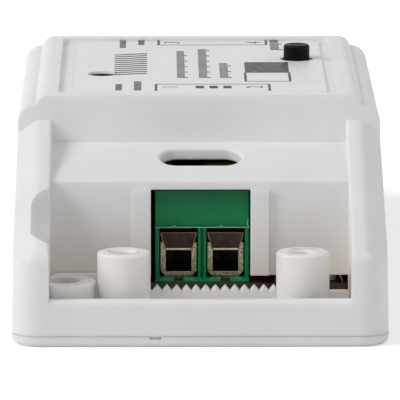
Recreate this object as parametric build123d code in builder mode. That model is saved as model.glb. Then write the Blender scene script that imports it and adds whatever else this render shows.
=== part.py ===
from build123d import *
import os
from math import atan2, ceil, cos, degrees, radians, sin, tan

# A smart relay module: a mains switch for a lamp cable, in a white plastic housing.
# Sizes are in millimetres. X runs across the module, Y along it and Z up from its underside.
# The input end, at -Y, has its end cover taken off. The output end is the input end turned
# half a turn about Z, with its end cover screwed on. End pieces are modelled at the input end,
# by their distance from its end face, and the output ones are turned copies.

os.makedirs("parts", exist_ok=True)

# Clearances and the overrun of every cut
fit_gap = 0.05
slip_gap = 0.25
seat_gap = 0.02
overrun = 1.0

# Housing outside
length = 88.0
width = 39.5
housing_height = 23.2
seam_height = 1.15
end_run = 22.0
plan_corner = 3.0
side_draft_angle = 0.95
rail_width = 3.95
rail_high = 20.6
rail_outer_round = 1.7
rail_inner_round = 0.3
rail_flat = 1.08
rail_facet_round = 1.5
rail_facet_angle = 33.5
front_wall_height = 5.0
front_wall_thickness = 1.7
front_wall_round = 0.5

# Shoulders of the plateau, in two rounded steps
plateau_edge = 3.55
upper_shoulder_width = 1.3
upper_shoulder_drop = 0.95
shoulder_notch = 0.12

# Housing inside
side_wall = 1.95
top_wall = 1.65
end_wall = 1.4
ledge_low = 15.55
ledge_high = 18.2
ledge_thickness = 1.2
ledge_round = 0.4
ledge_drop = 0.59
terminal_wall_distance = 13.0
terminal_wall_thickness = 1.2
terminal_wall_foot = 5.3
window_x = 0.12
window_width = 10.6
window_top = 14.5
window_strip_width = 2.0
window_strip_depth = 0.45
screw_slot_distance = 18.5
screw_slot_length = 8.6
screw_slot_width = 3.65
screw_slot_x = 0.15
screw_slot_round = 0.35

# Recess in the top, its label and its two holes
recess_depth = 0.45
recess_side_edge = 1.1
recess_end_edge = 2.0
recess_corner = 0.8
label_side_gap = 1.3
label_end_gap = 0.7
label_thickness = 0.2
label_corner = 0.6
label_x = 0.1
label_hole_gap = 0.3
button_share = (0.7351, 0.3)
button_hole_diameter = 3.3
lamp_share = (-0.694, -0.246)
lamp_hole_diameter = 3.0

# Base plate
base_round = 0.7
floor_height = 1.6
rib_distance = 5.6
rib_height = 5.0
rib_thickness = 1.4
tooth_pitch = 1.02
tooth_height = 0.6
tooth_shift = 0.18
boss_left_share = -0.5063
boss_right_share = 0.6835
boss_diameter = 5.6
boss_height = 9.2
pilot_diameter = 2.3
pilot_floor = 3.4
boss_mouth = 0.3
boss_edge = 0.3
mount_inset = 1.4
mount_ring_diameter = 6.9
mount_ring_height = 6.15
ring_edge = 0.25
mount_hole_diameter = 3.6
scoop_diameter = 7.1
scoop_rise = 1.0
scoop_length = 2.24
scoop_start = 5.36
curb_height = 5.6
curb_thickness = 0.9
floor_gap = 0.25
seam_notch_x = -4.7
seam_notch_width = 1.2
seam_notch_depth = 0.3

# Board and what holds it
board_side_gap = 0.8
board_thickness = 1.6
board_top = 4.4
pad_diameter = 5.0
pad_side_inset = 3.5
pad_end_inset = 3.0
pad_pin_diameter = 2.5
pad_pin_rise = 0.6
press_rib_depth = 1.3
press_rib_width = 2.0
press_rib_height = 4.0
press_rib_inset = 7.0
hook_inset = 16.0
hook_width = 5.0
hook_thickness = 1.2
hook_height = 6.9
hook_nose = 0.65
hook_nose_height = 1.2
hook_nose_bottom = 5.4
leg_reach = 0.9

# Screw terminals
terminal_x = 0.28
terminal_width = 10.0
terminal_depth = 8.2
terminal_top = 14.2
terminal_distance = 14.3
terminal_pitch = 5.0
terminal_floor = 0.3
terminal_front_wall = 1.0
terminal_foot_reach = 0.9
terminal_back_wall = 0.75
pole_window_width = 4.1
pole_window_top = 10.22
chamber_top = 12.0
collar_thickness = 0.6
seam_groove = 0.25
seam_rise = 0.15
seam_step = 0.1
mouth_notch_width = 1.0

# Clamp cage, its screw and the fixed current bar of each pole
cage_width = 3.85
cage_sheet = 0.55
cage_bottom_sheet = 0.45
cage_lift = 0.05
cage_height = 4.6
cage_top_plate = 0.9
cage_set_back = 1.3
cage_depth = 5.4
cage_corner = 0.5
cage_arm_height = 3.6
cage_arm_depth = 1.1
screw_set_back = 4.2
clamp_screw_diameter = 2.5
clamp_head_diameter = 3.4
clamp_head_height = 1.5
driver_slot_width = 0.6
driver_slot_depth = 0.8
bar_width = 2.4
bar_thickness = 0.7
bar_height = 7.56
lip_low_width = 2.7
lip_high_width = 3.85
lip_high = 9.6
lip_thickness = 0.4
lip_low_set_back = 0.8
lip_high_set_back = 0.2
bar_leg_width = 1.0
bar_leg_thickness = 0.6
bar_leg_hole = 1.7

# Cover of the output end and its screws
cover_rise = 2.2
cover_plate_overlap = 1.7
cover_wall = 1.4
cover_edge_round = 1.0
cable_entry_width = 9.0
cable_entry_height = 5.9
cable_entry_round = 3.0
well_diameter = 6.6
well_floor = 1.7
well_bore = 5.0
cover_screw_diameter = 2.2
cover_screw_reach = 5.0
cover_head_diameter = 4.4
cover_head_height = 1.5
cover_driver_width = 0.7
cover_driver_length = 3.0
cover_driver_depth = 0.8
jaw_clearance = 5.0
jaw_thickness = 1.4

# Push button and its switch
switch_width = 6.0
switch_height = 3.2
switch_pocket_diameter = 4.8
switch_pocket_depth = 1.9
switch_frame_thickness = 0.3
switch_frame_hole = 3.2
switch_leg_width = 0.7
switch_leg_thickness = 0.3
switch_leg_y = 2.25
switch_leg_hole = 1.0
dome_diameter = 4.4
dome_rise = 0.9
dome_thickness = 0.12
button_diameter = 2.9
button_top = 24.6
button_flange_diameter = 4.2
button_flange_thickness = 0.6
button_edge_round = 0.3
button_dish_diameter = 2.0
button_dish_depth = 0.12

# Status lamp and its spacer
lamp_diameter = 2.8
lamp_top = 20.5
lamp_flange_diameter = 3.6
lamp_flange_thickness = 0.6
lamp_body_height = 2.4
lamp_leg_spacing = 2.54
lamp_leg_diameter = 0.5

# Relay
relay_share = (-0.3647, 0.3871)
relay_length = 19.2
relay_width = 15.5
relay_height = 15.3
relay_wall = 0.9
relay_base_height = 2.0
yoke_thickness = 1.2
yoke_width = 10.0
yoke_x = -8.4
yoke_foot = 8.4
yoke_height = 9.6
bobbin_flange_width = 10.2
bobbin_flange_thickness = 0.8
bobbin_barrel_diameter = 4.6
bobbin_height = 7.4
bobbin_x = -2.0
core_diameter = 3.1
pole_face_diameter = 5.0
pole_face_thickness = 0.6
coil_diameter = 9.6
armature_thickness = 1.0
armature_width = 9.0
armature_length = 9.6
armature_air_gap = 0.42
leaf_thickness = 0.2
leaf_width = 4.0
leaf_length = 6.4
leaf_overlap = 5.0
rivet_diameter = 2.0
rivet_height = 0.45
contact_gap = 0.75
contact_post_width = 3.0
contact_post_thickness = 0.5
contact_post_x = 8.1
contact_post_y = 3.5
contact_finger_reach = 3.4
rivet_set_back = 1.3
relay_pin_width = 1.0
relay_pin_thickness = 0.5
coil_pin_y = 6.0
coil_pin_x = -7.0
coil_pin_rise = 2.0
common_pin_x = -4.0

# Power supply and small parts on the board
fuse_resistor_share = (-0.8647, -0.2097)
fuse_resistor_diameter = 3.2
fuse_resistor_length = 8.0
fuse_lead_diameter = 0.6
fuse_lead_length = 1.2
varistor_edge = 0.9
varistor_share = (-0.7412, -0.5484)
varistor_diameter = 7.0
varistor_thickness = 3.6
varistor_lead_spacing = 5.0
varistor_lead_diameter = 0.6
varistor_stand = 0.9
large_capacitor_share = (-0.2588, -0.4968)
large_capacitor_diameter = 8.0
large_capacitor_height = 13.0
small_capacitor_share = (0.6235, 0.4323)
small_capacitor_diameter = 6.3
small_capacitor_height = 11.0
capacitor_bead = 0.25
capacitor_bead_height = 1.2
capacitor_edge = 0.4
film_capacitor_share = (0.3765, -0.5613)
film_capacitor_length = 12.0
film_capacitor_width = 5.0
film_capacitor_height = 11.0
film_capacitor_edge = 0.4
lead_hole_gap = 0.3
bridge_share = (-0.3059, -0.1742)
bridge_length = 4.7
bridge_width = 3.9
bridge_height = 2.4
chip_share = (0.3235, 0.3419)
chip_length = 4.9
chip_width = 3.6
chip_height = 1.6
chip_edge = 0.25
transformer_share = (0.2353, -0.1742)
transformer_length = 10.2
transformer_core_width = 4.8
transformer_height = 11.5
transformer_limb = 1.6
transformer_centre_limb = 2.6
bobbin_end_width = 8.6
bobbin_end_thickness = 0.7
bobbin_tube_wall = 0.5
winding_thickness = 1.2
radio_board_share = (0.8765, -0.3032)
radio_board_length = 20.0
radio_board_height = 15.6
radio_board_thickness = 0.8
radio_board_lift = 0.5
shield_thickness = 2.0
shield_length = 12.0
shield_height = 11.0
shield_drop = 1.0
shield_sheet = 0.3
header_width = 2.0
header_length = 16.0
header_height = 2.4

# Places that follow from the sizes above
half_length = length / 2
half_width = width / 2
half_plateau = half_length - end_run
ledge_rise_share = terminal_wall_distance / (end_run - terminal_wall_distance)
rail_over_ledge = ledge_low + ledge_drop
rail_low = rail_over_ledge - (rail_high - rail_over_ledge) * ledge_rise_share
rail_slope_angle = degrees(atan2(rail_high - rail_low, end_run))
bay_half_width = half_width - rail_width
cavity_half_width = half_width - side_wall
cavity_top = housing_height - recess_depth - top_wall
recess_floor = housing_height - recess_depth
recess_half_width = half_width - plateau_edge - recess_side_edge
recess_half_length = half_plateau - recess_end_edge
label_width = 2 * (recess_half_width - label_side_gap)
label_length = 2 * (recess_half_length - label_end_gap)
button_x, button_y = button_share[0] * recess_half_width, button_share[1] * recess_half_length
lamp_x, lamp_y = lamp_share[0] * recess_half_width, lamp_share[1] * recess_half_length
boss_left_x = boss_left_share * bay_half_width
boss_right_x = boss_right_share * bay_half_width
mount_x = mount_inset - bay_half_width
board_bottom = board_top - board_thickness
board_half_width = cavity_half_width - board_side_gap
board_half_length = half_length - terminal_wall_distance
pad_x = board_half_width - pad_side_inset
pad_y = board_half_length - pad_end_inset
press_rib_y = board_half_length - press_rib_inset
hook_y = board_half_length - hook_inset
ends = (("input", 0), ("output", 180))
poles = (("line", -terminal_pitch / 2), ("neutral", terminal_pitch / 2))


def on_board(share):
    """The place on the board at a share of its half width and of its half length."""
    return (share[0] * board_half_width, share[1] * board_half_length)


def from_end(distance):
    """The Y place of a point at a distance behind the end face of the input end."""
    return distance - half_length


def side_at(height):
    """Half the housing's width at a height, since its sides lean in."""
    return half_width - (height - seam_height) * tan(radians(side_draft_angle))


def ledge_at(distance):
    """The height of the sloping ledge over the screw terminal."""
    run = end_run - terminal_wall_distance
    return ledge_low + (ledge_high - ledge_low) * (distance - terminal_wall_distance) / run


def rail_at(distance):
    """The height of the rails' sloping top."""
    return rail_low + (rail_high - rail_low) * distance / end_run


def block(x_span, y_span, z_span, mode=Mode.ADD):
    """A block between two places on each axis."""
    with Locations((x_span[0], y_span[0], z_span[0])):
        Box(
            x_span[1] - x_span[0],
            y_span[1] - y_span[0],
            z_span[1] - z_span[0],
            align=(Align.MIN, Align.MIN, Align.MIN),
            mode=mode,
        )


def post(x, y, z_span, diameter, mode=Mode.ADD):
    """An upright round post or hole between two heights."""
    with Locations((x, y, z_span[0])):
        Cylinder(
            diameter / 2,
            z_span[1] - z_span[0],
            align=(Align.CENTER, Align.CENTER, Align.MIN),
            mode=mode,
        )


def around(centre, size):
    """The span of a size about its centre."""
    return (centre - size / 2, centre + size / 2)


# Places of the parts that stand on the board
relay_x, relay_y = on_board(relay_share)
fuse_resistor_x, fuse_resistor_y = on_board(fuse_resistor_share)
varistor_x, varistor_y = on_board(varistor_share)
large_capacitor_x, large_capacitor_y = on_board(large_capacitor_share)
small_capacitor_x, small_capacitor_y = on_board(small_capacitor_share)
film_capacitor_x, film_capacitor_y = on_board(film_capacitor_share)
bridge_x, bridge_y = on_board(bridge_share)
chip_x, chip_y = on_board(chip_share)
transformer_x, transformer_y = on_board(transformer_share)
radio_board_x, radio_board_y = on_board(radio_board_share)


# Upper housing: first the sloped end with its wiring bay, then the middle, then all of it.

slope_plane = Plane(
    origin=(0, -half_length, rail_low),
    x_dir=(1, 0, 0),
    z_dir=(0, -cos(radians(rail_slope_angle)), -sin(radians(rail_slope_angle))),
)
facet_turn = radians(rail_facet_angle)
facet_start = bay_half_width + rail_flat
facet_top = (
    facet_start + rail_facet_round * sin(facet_turn),
    rail_facet_round * (cos(facet_turn) - 1),
)

with BuildPart() as scoop:
    with BuildSketch(slope_plane):
        with Locations((mount_x, scoop_rise)):
            Circle(scoop_diameter / 2)
        with Locations((mount_x - scoop_diameter / 2, scoop_rise)):
            Rectangle(
                scoop_diameter / 2,
                scoop_diameter,
                align=(Align.MIN, Align.MIN),
            )
    extrude(amount=end_run, both=True)
    with BuildSketch(Plane.XY):
        with Locations((mount_x, from_end(scoop_start + scoop_length / 2))):
            SlotCenterToCenter(scoop_length, scoop_diameter, rotation=90)
    extrude(amount=housing_height, mode=Mode.INTERSECT)

with BuildPart() as housing_end:
    with BuildSketch(Plane.XY.offset(seam_height)):
        RectangleRounded(width, length, plan_corner)
    extrude(amount=rail_high - seam_height, taper=side_draft_angle)
    with BuildSketch(Plane.YZ):
        Polygon(
            (-half_length, seam_height),
            (-half_length, rail_low),
            (-half_plateau, rail_high),
            (-half_plateau, seam_height),
            align=None,
        )
    extrude(amount=half_width, both=True, mode=Mode.INTERSECT)
    slope = faces().filter_by(Axis.Z, reverse=True).sort_by(lambda face: face.normal_at().Z)[-1]
    fillet(slope.edges().sort_by(Axis.Y)[:-1], radius=rail_outer_round)
    with BuildSketch(Plane.YZ):
        Polygon(
            (-half_length - overrun, front_wall_height),
            (from_end(front_wall_thickness), front_wall_height),
            (from_end(front_wall_thickness), seam_height - overrun),
            (from_end(terminal_wall_distance), seam_height - overrun),
            (from_end(terminal_wall_distance), ledge_at(terminal_wall_distance)),
            (-half_plateau, ledge_at(end_run)),
            (-half_plateau, housing_height),
            (-half_length - overrun, housing_height),
            align=None,
        )
    extrude(amount=bay_half_width, both=True, mode=Mode.SUBTRACT)
    wall_edges = edges().filter_by(Axis.X).filter_by_position(
        Axis.Z, front_wall_height - seat_gap, front_wall_height + seat_gap
    )
    fillet(wall_edges, radius=front_wall_round)
    ledge_edges = edges().filter_by(Axis.X).filter_by_position(
        Axis.Z, ledge_low - seat_gap, ledge_low + seat_gap
    )
    fillet(ledge_edges, radius=ledge_round)
    slot_y = from_end(screw_slot_distance)
    slot_straight = screw_slot_length - screw_slot_width
    slot_span = (terminal_top, housing_height)
    block(
        around(screw_slot_x, slot_straight),
        around(slot_y, screw_slot_width),
        slot_span,
        Mode.SUBTRACT,
    )
    for slot_x in around(screw_slot_x, slot_straight):
        post(slot_x, slot_y, slot_span, screw_slot_width, Mode.SUBTRACT)
    ledge = faces().filter_by(lambda face: len(face.inner_wires()) == 1).sort_by(Axis.Z)[-1]
    fillet(ledge.inner_wires()[0].edges(), radius=screw_slot_round)
    with BuildSketch(slope_plane):
        with BuildLine():
            Polyline(
                (bay_half_width + rail_inner_round, 0),
                (bay_half_width + rail_inner_round, rail_inner_round),
                (bay_half_width - seat_gap, rail_inner_round),
                (bay_half_width - seat_gap, -rail_inner_round),
                (bay_half_width, -rail_inner_round),
            )
            TangentArc(
                (bay_half_width, -rail_inner_round),
                (bay_half_width + rail_inner_round, 0),
                tangent=(0, 1),
            )
        make_face()
        mirror(about=Plane.YZ)
    extrude(amount=end_run + rail_high, both=True, mode=Mode.SUBTRACT)
    with BuildSketch(slope_plane):
        facet_tip = half_width + overrun
        facet_fall = (facet_tip - facet_top[0]) * tan(radians(rail_facet_angle)) - facet_top[1]
        with BuildLine():
            roll = TangentArc((facet_start, 0), facet_top, tangent=(1, 0))
            Polyline(
                roll @ 1,
                (facet_tip, -facet_fall),
                (facet_tip, overrun),
                (facet_start, overrun),
                (facet_start, 0),
            )
        make_face()
        mirror(about=Plane.YZ)
    extrude(amount=end_run + rail_high, both=True, mode=Mode.SUBTRACT)
    add(scoop.part, mode=Mode.SUBTRACT)
    ring_room = mount_ring_diameter + slip_gap + slip_gap
    post(
        mount_x,
        from_end(rib_distance),
        (seam_height - overrun, mount_ring_height + slip_gap),
        ring_room,
        Mode.SUBTRACT,
    )
    post(
        mount_x,
        from_end(rib_distance),
        (seam_height, housing_height),
        mount_hole_diameter + slip_gap,
        Mode.SUBTRACT,
    )
    strip_y = from_end(terminal_wall_distance - window_strip_depth)
    for side in (-1, 1):
        strip_x = window_x + side * (window_width + window_strip_width) / 2
        block(
            around(strip_x, window_strip_width),
            (strip_y, from_end(terminal_wall_distance) + seat_gap),
            (terminal_wall_foot, window_top),
        )

with BuildPart() as upper_housing:
    with BuildSketch(Plane.XY.offset(seam_height)):
        RectangleRounded(width, length, plan_corner)
    extrude(amount=rail_high - seam_height, taper=side_draft_angle)
    block(
        (-width, width),
        (-half_plateau, half_plateau),
        (0, housing_height),
        Mode.INTERSECT,
    )
    with BuildSketch(Plane.XZ):
        with BuildLine():
            plateau_half = half_width - plateau_edge
            notch_x = plateau_half + upper_shoulder_width
            notch_z = housing_height - upper_shoulder_drop
            flat = Line((0, housing_height), (plateau_half, housing_height))
            TangentArc(flat @ 1, (notch_x, notch_z), tangent=flat % 1)
            Line((notch_x, notch_z), (notch_x + shoulder_notch, notch_z - shoulder_notch))
            TangentArc(
                (notch_x + shoulder_notch, notch_z - shoulder_notch),
                (side_at(rail_high), rail_high),
                tangent=flat % 1,
            )
            Line((side_at(rail_high), rail_high), (0, rail_high))
            mirror(about=Plane.YZ)
        make_face()
    extrude(amount=half_plateau, both=True)
    with PolarLocations(0, len(ends)):
        add(housing_end.part)
    with BuildSketch(Plane.YZ):
        chamber_front = terminal_wall_distance + terminal_wall_thickness
        chamber_middle = end_run + end_wall
        with BuildLine():
            Polyline(
                (0, cavity_top),
                (from_end(chamber_middle), cavity_top),
                (from_end(chamber_middle), ledge_at(chamber_middle) - ledge_thickness),
                (from_end(chamber_front), ledge_at(chamber_front) - ledge_thickness),
                (from_end(chamber_front), 0),
                (0, 0),
            )
            mirror(about=Plane.YZ)
        make_face()
    extrude(amount=cavity_half_width, both=True, mode=Mode.SUBTRACT)
    with PolarLocations(0, len(ends)):
        block(
            (-bay_half_width, bay_half_width),
            (from_end(terminal_wall_distance) - seat_gap, from_end(chamber_front) + overrun),
            (0, terminal_wall_foot),
            Mode.SUBTRACT,
        )
        block(
            around(window_x, window_width),
            (strip_y - overrun, from_end(chamber_front) + overrun),
            (0, window_top),
            Mode.SUBTRACT,
        )
        for side in (-1, 1):
            for place in (-press_rib_y, press_rib_y):
                rib_face = side * (cavity_half_width - press_rib_depth / 2 + seat_gap / 2)
                block(
                    around(rib_face, press_rib_depth + seat_gap),
                    around(place, press_rib_width),
                    (board_top, board_top + press_rib_height),
                )
        for place in (-hook_y, hook_y):
            block(
                (cavity_half_width - seat_gap, cavity_half_width + hook_nose),
                around(place, hook_width + slip_gap + slip_gap),
                (hook_nose_bottom - slip_gap, hook_nose_bottom + hook_nose_height + slip_gap),
                Mode.SUBTRACT,
            )
    with BuildSketch(Plane.XY.offset(recess_floor)):
        RectangleRounded(2 * recess_half_width, 2 * recess_half_length, recess_corner)
    extrude(amount=recess_depth + overrun, mode=Mode.SUBTRACT)
    hole_depth = (cavity_top - overrun, housing_height)
    post(button_x, button_y, hole_depth, button_hole_diameter, Mode.SUBTRACT)
    post(lamp_x, lamp_y, hole_depth, lamp_hole_diameter, Mode.SUBTRACT)

upper_housing.part.label = "upper_housing"
export_step(upper_housing.part, "parts/upper_housing.step")

# Base plate: the tray that the housing snaps on to, with the bosses, rings and ribs of both ends.

terminal_front = from_end(terminal_distance)
terminal_back = terminal_front + terminal_depth
floor_front = front_wall_thickness + floor_gap
floor_half_bay = bay_half_width - floor_gap
boss_places = (boss_left_x, boss_right_x)
rib_y = from_end(rib_distance)
curb_back = from_end(terminal_wall_distance) - slip_gap
teeth_start = boss_left_x + boss_diameter / 2 + tooth_shift
teeth_count = ceil((boss_right_x - boss_diameter / 2 - teeth_start) / tooth_pitch)


def teeth(root, rise):
    """The outline of a row of pointed teeth between the bosses, up or down from a height."""
    points = [(teeth_start, root - rise)]
    for number in range(teeth_count):
        left = teeth_start + number * tooth_pitch
        points += [(left, root), (left + tooth_pitch / 2, root + rise)]
    right = teeth_start + teeth_count * tooth_pitch
    points += [(right, root), (right, root - rise)]
    return points


with BuildPart() as base_end:
    block(
        (-floor_half_bay, floor_half_bay),
        (from_end(floor_front), from_end(end_run)),
        (seam_height - seat_gap, floor_height),
    )
    block(
        (-floor_half_bay, floor_half_bay),
        around(rib_y, rib_thickness),
        (seam_height, rib_height),
    )
    with BuildSketch(Plane.XZ.offset(-rib_y)):
        Polygon(*teeth(rib_height, tooth_height), align=None)
    extrude(amount=rib_thickness / 2, both=True)
    block(
        (-floor_half_bay, boss_left_x),
        (curb_back - curb_thickness, curb_back),
        (seam_height, curb_height),
    )
    post(mount_x, rib_y, (seam_height - seat_gap, mount_ring_height), mount_ring_diameter)
    fillet(edges().group_by(Axis.Z)[-1], radius=ring_edge)
    post(mount_x, rib_y, (0, housing_height), mount_hole_diameter, Mode.SUBTRACT)
    for boss_x in boss_places:
        post(boss_x, rib_y, (seam_height, boss_height), boss_diameter)
        fillet(edges().group_by(Axis.Z)[-1], radius=boss_edge)
        post(boss_x, rib_y, (pilot_floor, boss_height + overrun), pilot_diameter, Mode.SUBTRACT)
        chamfer(edges().group_by(Axis.Z)[-1].sort_by(SortBy.RADIUS)[0], length=boss_mouth)

with BuildPart() as base_plate:
    with BuildSketch(Plane.XY):
        RectangleRounded(width, length, plan_corner)
    extrude(amount=seam_height)
    fillet(faces().sort_by(Axis.Z)[0].edges(), radius=base_round)
    floor_half = cavity_half_width - floor_gap
    chamber_half = half_length - chamber_front - floor_gap
    block(
        (-floor_half, floor_half),
        (-chamber_half, chamber_half),
        (seam_height - seat_gap, floor_height),
    )
    with PolarLocations(0, len(ends)):
        post(mount_x, rib_y, (-overrun, housing_height), mount_hole_diameter, Mode.SUBTRACT)
        add(base_end.part)
        block(
            around(seam_notch_x, seam_notch_width),
            (-half_length - overrun, from_end(seam_notch_depth)),
            (seam_height - seam_notch_depth, seam_height + overrun),
            Mode.SUBTRACT,
        )
    for pad_place_x in (-pad_x, pad_x):
        for pad_place_y in (-pad_y, pad_y):
            post(pad_place_x, pad_place_y, (seam_height, board_bottom), pad_diameter)
            post(
                pad_place_x,
                pad_place_y,
                (seam_height, board_top + pad_pin_rise),
                pad_pin_diameter,
            )
    hook_outside = cavity_half_width - slip_gap
    hook_inside = hook_outside - hook_thickness
    for side in (-1, 1):
        for hook_place in (-hook_y, hook_y):
            with BuildSketch(Plane.XZ.offset(-hook_place)):
                Polygon(
                    (side * hook_inside, seam_height),
                    (side * hook_outside, seam_height),
                    (side * hook_outside, hook_nose_bottom),
                    (side * (hook_outside + hook_nose), hook_nose_bottom),
                    (side * hook_outside, hook_nose_bottom + hook_nose_height),
                    (side * hook_outside, hook_height),
                    (side * hook_inside, hook_height),
                    align=None,
                )
            extrude(amount=hook_width / 2, both=True)

base_plate.part.label = "base_plate"
export_step(base_plate.part, "parts/base_plate.step")

# Circuit board, with a hole for every leg that goes through it

bar_leg_back = terminal_back - terminal_back_wall - fit_gap
bar_leg_y = bar_leg_back - bar_leg_thickness / 2
switch_leg_x = (switch_width + switch_leg_thickness) / 2
relay_pin_hole = relay_pin_width + lead_hole_gap
relay_pins_at = (
    (relay_x + coil_pin_x, relay_y - coil_pin_y),
    (relay_x + coil_pin_x, relay_y + coil_pin_y),
    (relay_x + common_pin_x, relay_y),
)
fixed_contacts_at = (
    ("open", relay_x + contact_post_x, relay_y),
    ("closed", relay_x + contact_post_x, relay_y + contact_post_y),
)
fuse_reach = (fuse_resistor_length + fuse_lead_length) / 2
round_legs_at = (
    (lamp_x - lamp_leg_spacing / 2, lamp_y, lamp_leg_diameter),
    (lamp_x + lamp_leg_spacing / 2, lamp_y, lamp_leg_diameter),
    (fuse_resistor_x, fuse_resistor_y - fuse_reach, fuse_lead_diameter),
    (fuse_resistor_x, fuse_resistor_y + fuse_reach, fuse_lead_diameter),
    (varistor_x - varistor_lead_spacing / 2, varistor_y, varistor_lead_diameter),
    (varistor_x + varistor_lead_spacing / 2, varistor_y, varistor_lead_diameter),
)
board_cut = (board_bottom - overrun, board_top + overrun)
leg_bottom = board_bottom - leg_reach

with BuildPart() as circuit_board:
    block(
        (-board_half_width, board_half_width),
        (-board_half_length, board_half_length),
        (board_bottom, board_top),
    )
    notch_half = hook_inside - slip_gap
    for hook_place in (-hook_y, hook_y):
        for notch in ((-half_width, -notch_half), (notch_half, half_width)):
            block(
                notch,
                around(hook_place, hook_width + slip_gap + slip_gap),
                board_cut,
                Mode.SUBTRACT,
            )
    for corner_x in ((-half_width, -floor_half_bay), (floor_half_bay, half_width)):
        for corner_y in ((-half_length, -chamber_half), (chamber_half, half_length)):
            block(corner_x, corner_y, board_cut, Mode.SUBTRACT)
    for hole_x in (-pad_x, pad_x):
        for hole_y in (-pad_y, pad_y):
            post(hole_x, hole_y, board_cut, pad_pin_diameter + slip_gap, Mode.SUBTRACT)
    with PolarLocations(0, len(ends)):
        for pole, pole_offset in poles:
            post(
                terminal_x + pole_offset, bar_leg_y, board_cut, bar_leg_hole, Mode.SUBTRACT
            )
    for leg_x in (button_x - switch_leg_x, button_x + switch_leg_x):
        for leg_y in around(button_y, switch_leg_y + switch_leg_y):
            post(leg_x, leg_y, board_cut, switch_leg_hole, Mode.SUBTRACT)
    for leg_x, leg_y, leg_diameter in round_legs_at:
        post(leg_x, leg_y, board_cut, leg_diameter + lead_hole_gap, Mode.SUBTRACT)
    for pin_x, pin_y in relay_pins_at:
        post(pin_x, pin_y, board_cut, relay_pin_hole, Mode.SUBTRACT)
    for name, pin_x, pin_y in fixed_contacts_at:
        post(pin_x, pin_y, board_cut, relay_pin_hole, Mode.SUBTRACT)

circuit_board.part.label = "circuit_board"
export_step(circuit_board.part, "parts/circuit_board.step")

# Label in the recess of the top

with BuildPart() as label:
    with BuildSketch(Plane.XY.offset(recess_floor)):
        with Locations((label_x, 0)):
            RectangleRounded(label_width, label_length, label_corner)
    extrude(amount=label_thickness)
    hole_span = (recess_floor - overrun, housing_height)
    post(button_x, button_y, hole_span, button_hole_diameter + label_hole_gap, Mode.SUBTRACT)
    post(lamp_x, lamp_y, hole_span, lamp_hole_diameter + label_hole_gap, Mode.SUBTRACT)

label.part.label = "label"
export_step(label.part, "parts/label.step")

# Screw terminal: a moulded block of two poles, each with a chamber for its clamp cage

chamber_floor = board_top + terminal_floor
chamber_near = terminal_front + terminal_front_wall
chamber_far = terminal_back - terminal_back_wall
clamp_screw_y = terminal_front + screw_set_back
head_seat = chamber_top + collar_thickness
cage_front = terminal_front + cage_set_back
cage_bottom = chamber_floor + cage_lift
cage_top = cage_bottom + cage_height
bar_front = terminal_front + lip_low_set_back
bar_top = bar_height + bar_thickness

with BuildPart() as terminal_housing:
    block(
        around(terminal_x, terminal_width),
        (terminal_front, terminal_back),
        (board_top, terminal_top),
    )
    block(
        around(terminal_x, terminal_width),
        (terminal_front - terminal_foot_reach, terminal_front + terminal_front_wall),
        (board_top, chamber_floor),
    )
    for cut_width, cut_depth in (
        (terminal_width + overrun, seam_step),
        (seam_groove, seam_step + seam_groove),
    ):
        block(
            around(terminal_x, cut_width),
            (terminal_front - overrun, terminal_front + cut_depth),
            (chamber_floor, pole_window_top + seam_rise),
            Mode.SUBTRACT,
        )
    for pole, pole_offset in poles:
        pole_x = terminal_x + pole_offset
        block(
            around(pole_x, pole_window_width),
            (terminal_front - overrun, chamber_far),
            (chamber_floor, pole_window_top),
            Mode.SUBTRACT,
        )
        block(
            around(pole_x, pole_window_width),
            (chamber_near, chamber_far),
            (chamber_floor, chamber_top),
            Mode.SUBTRACT,
        )
        block(
            around(pole_x, mouth_notch_width),
            (terminal_front - overrun, chamber_near),
            (board_top - overrun, chamber_floor + overrun),
            Mode.SUBTRACT,
        )
        block(
            around(pole_x, bar_leg_width + fit_gap + fit_gap),
            around(bar_leg_y, bar_leg_thickness + fit_gap + fit_gap),
            (board_top - overrun, chamber_floor + overrun),
            Mode.SUBTRACT,
        )
        post(
            pole_x,
            clamp_screw_y,
            (chamber_top - overrun, head_seat),
            clamp_screw_diameter + slip_gap,
            Mode.SUBTRACT,
        )
        post(
            pole_x,
            clamp_screw_y,
            (head_seat, terminal_top + overrun),
            clamp_head_diameter + slip_gap,
            Mode.SUBTRACT,
        )

for end, turn in ends:
    placed = terminal_housing.part.rotate(Axis.Z, turn)
    placed.label = f"{end}_terminal_housing"
    export_step(placed, f"parts/{end}_terminal_housing.step")

# Each pole: a cage that a screw lifts, so that it presses the wire against a fixed bar

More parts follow.
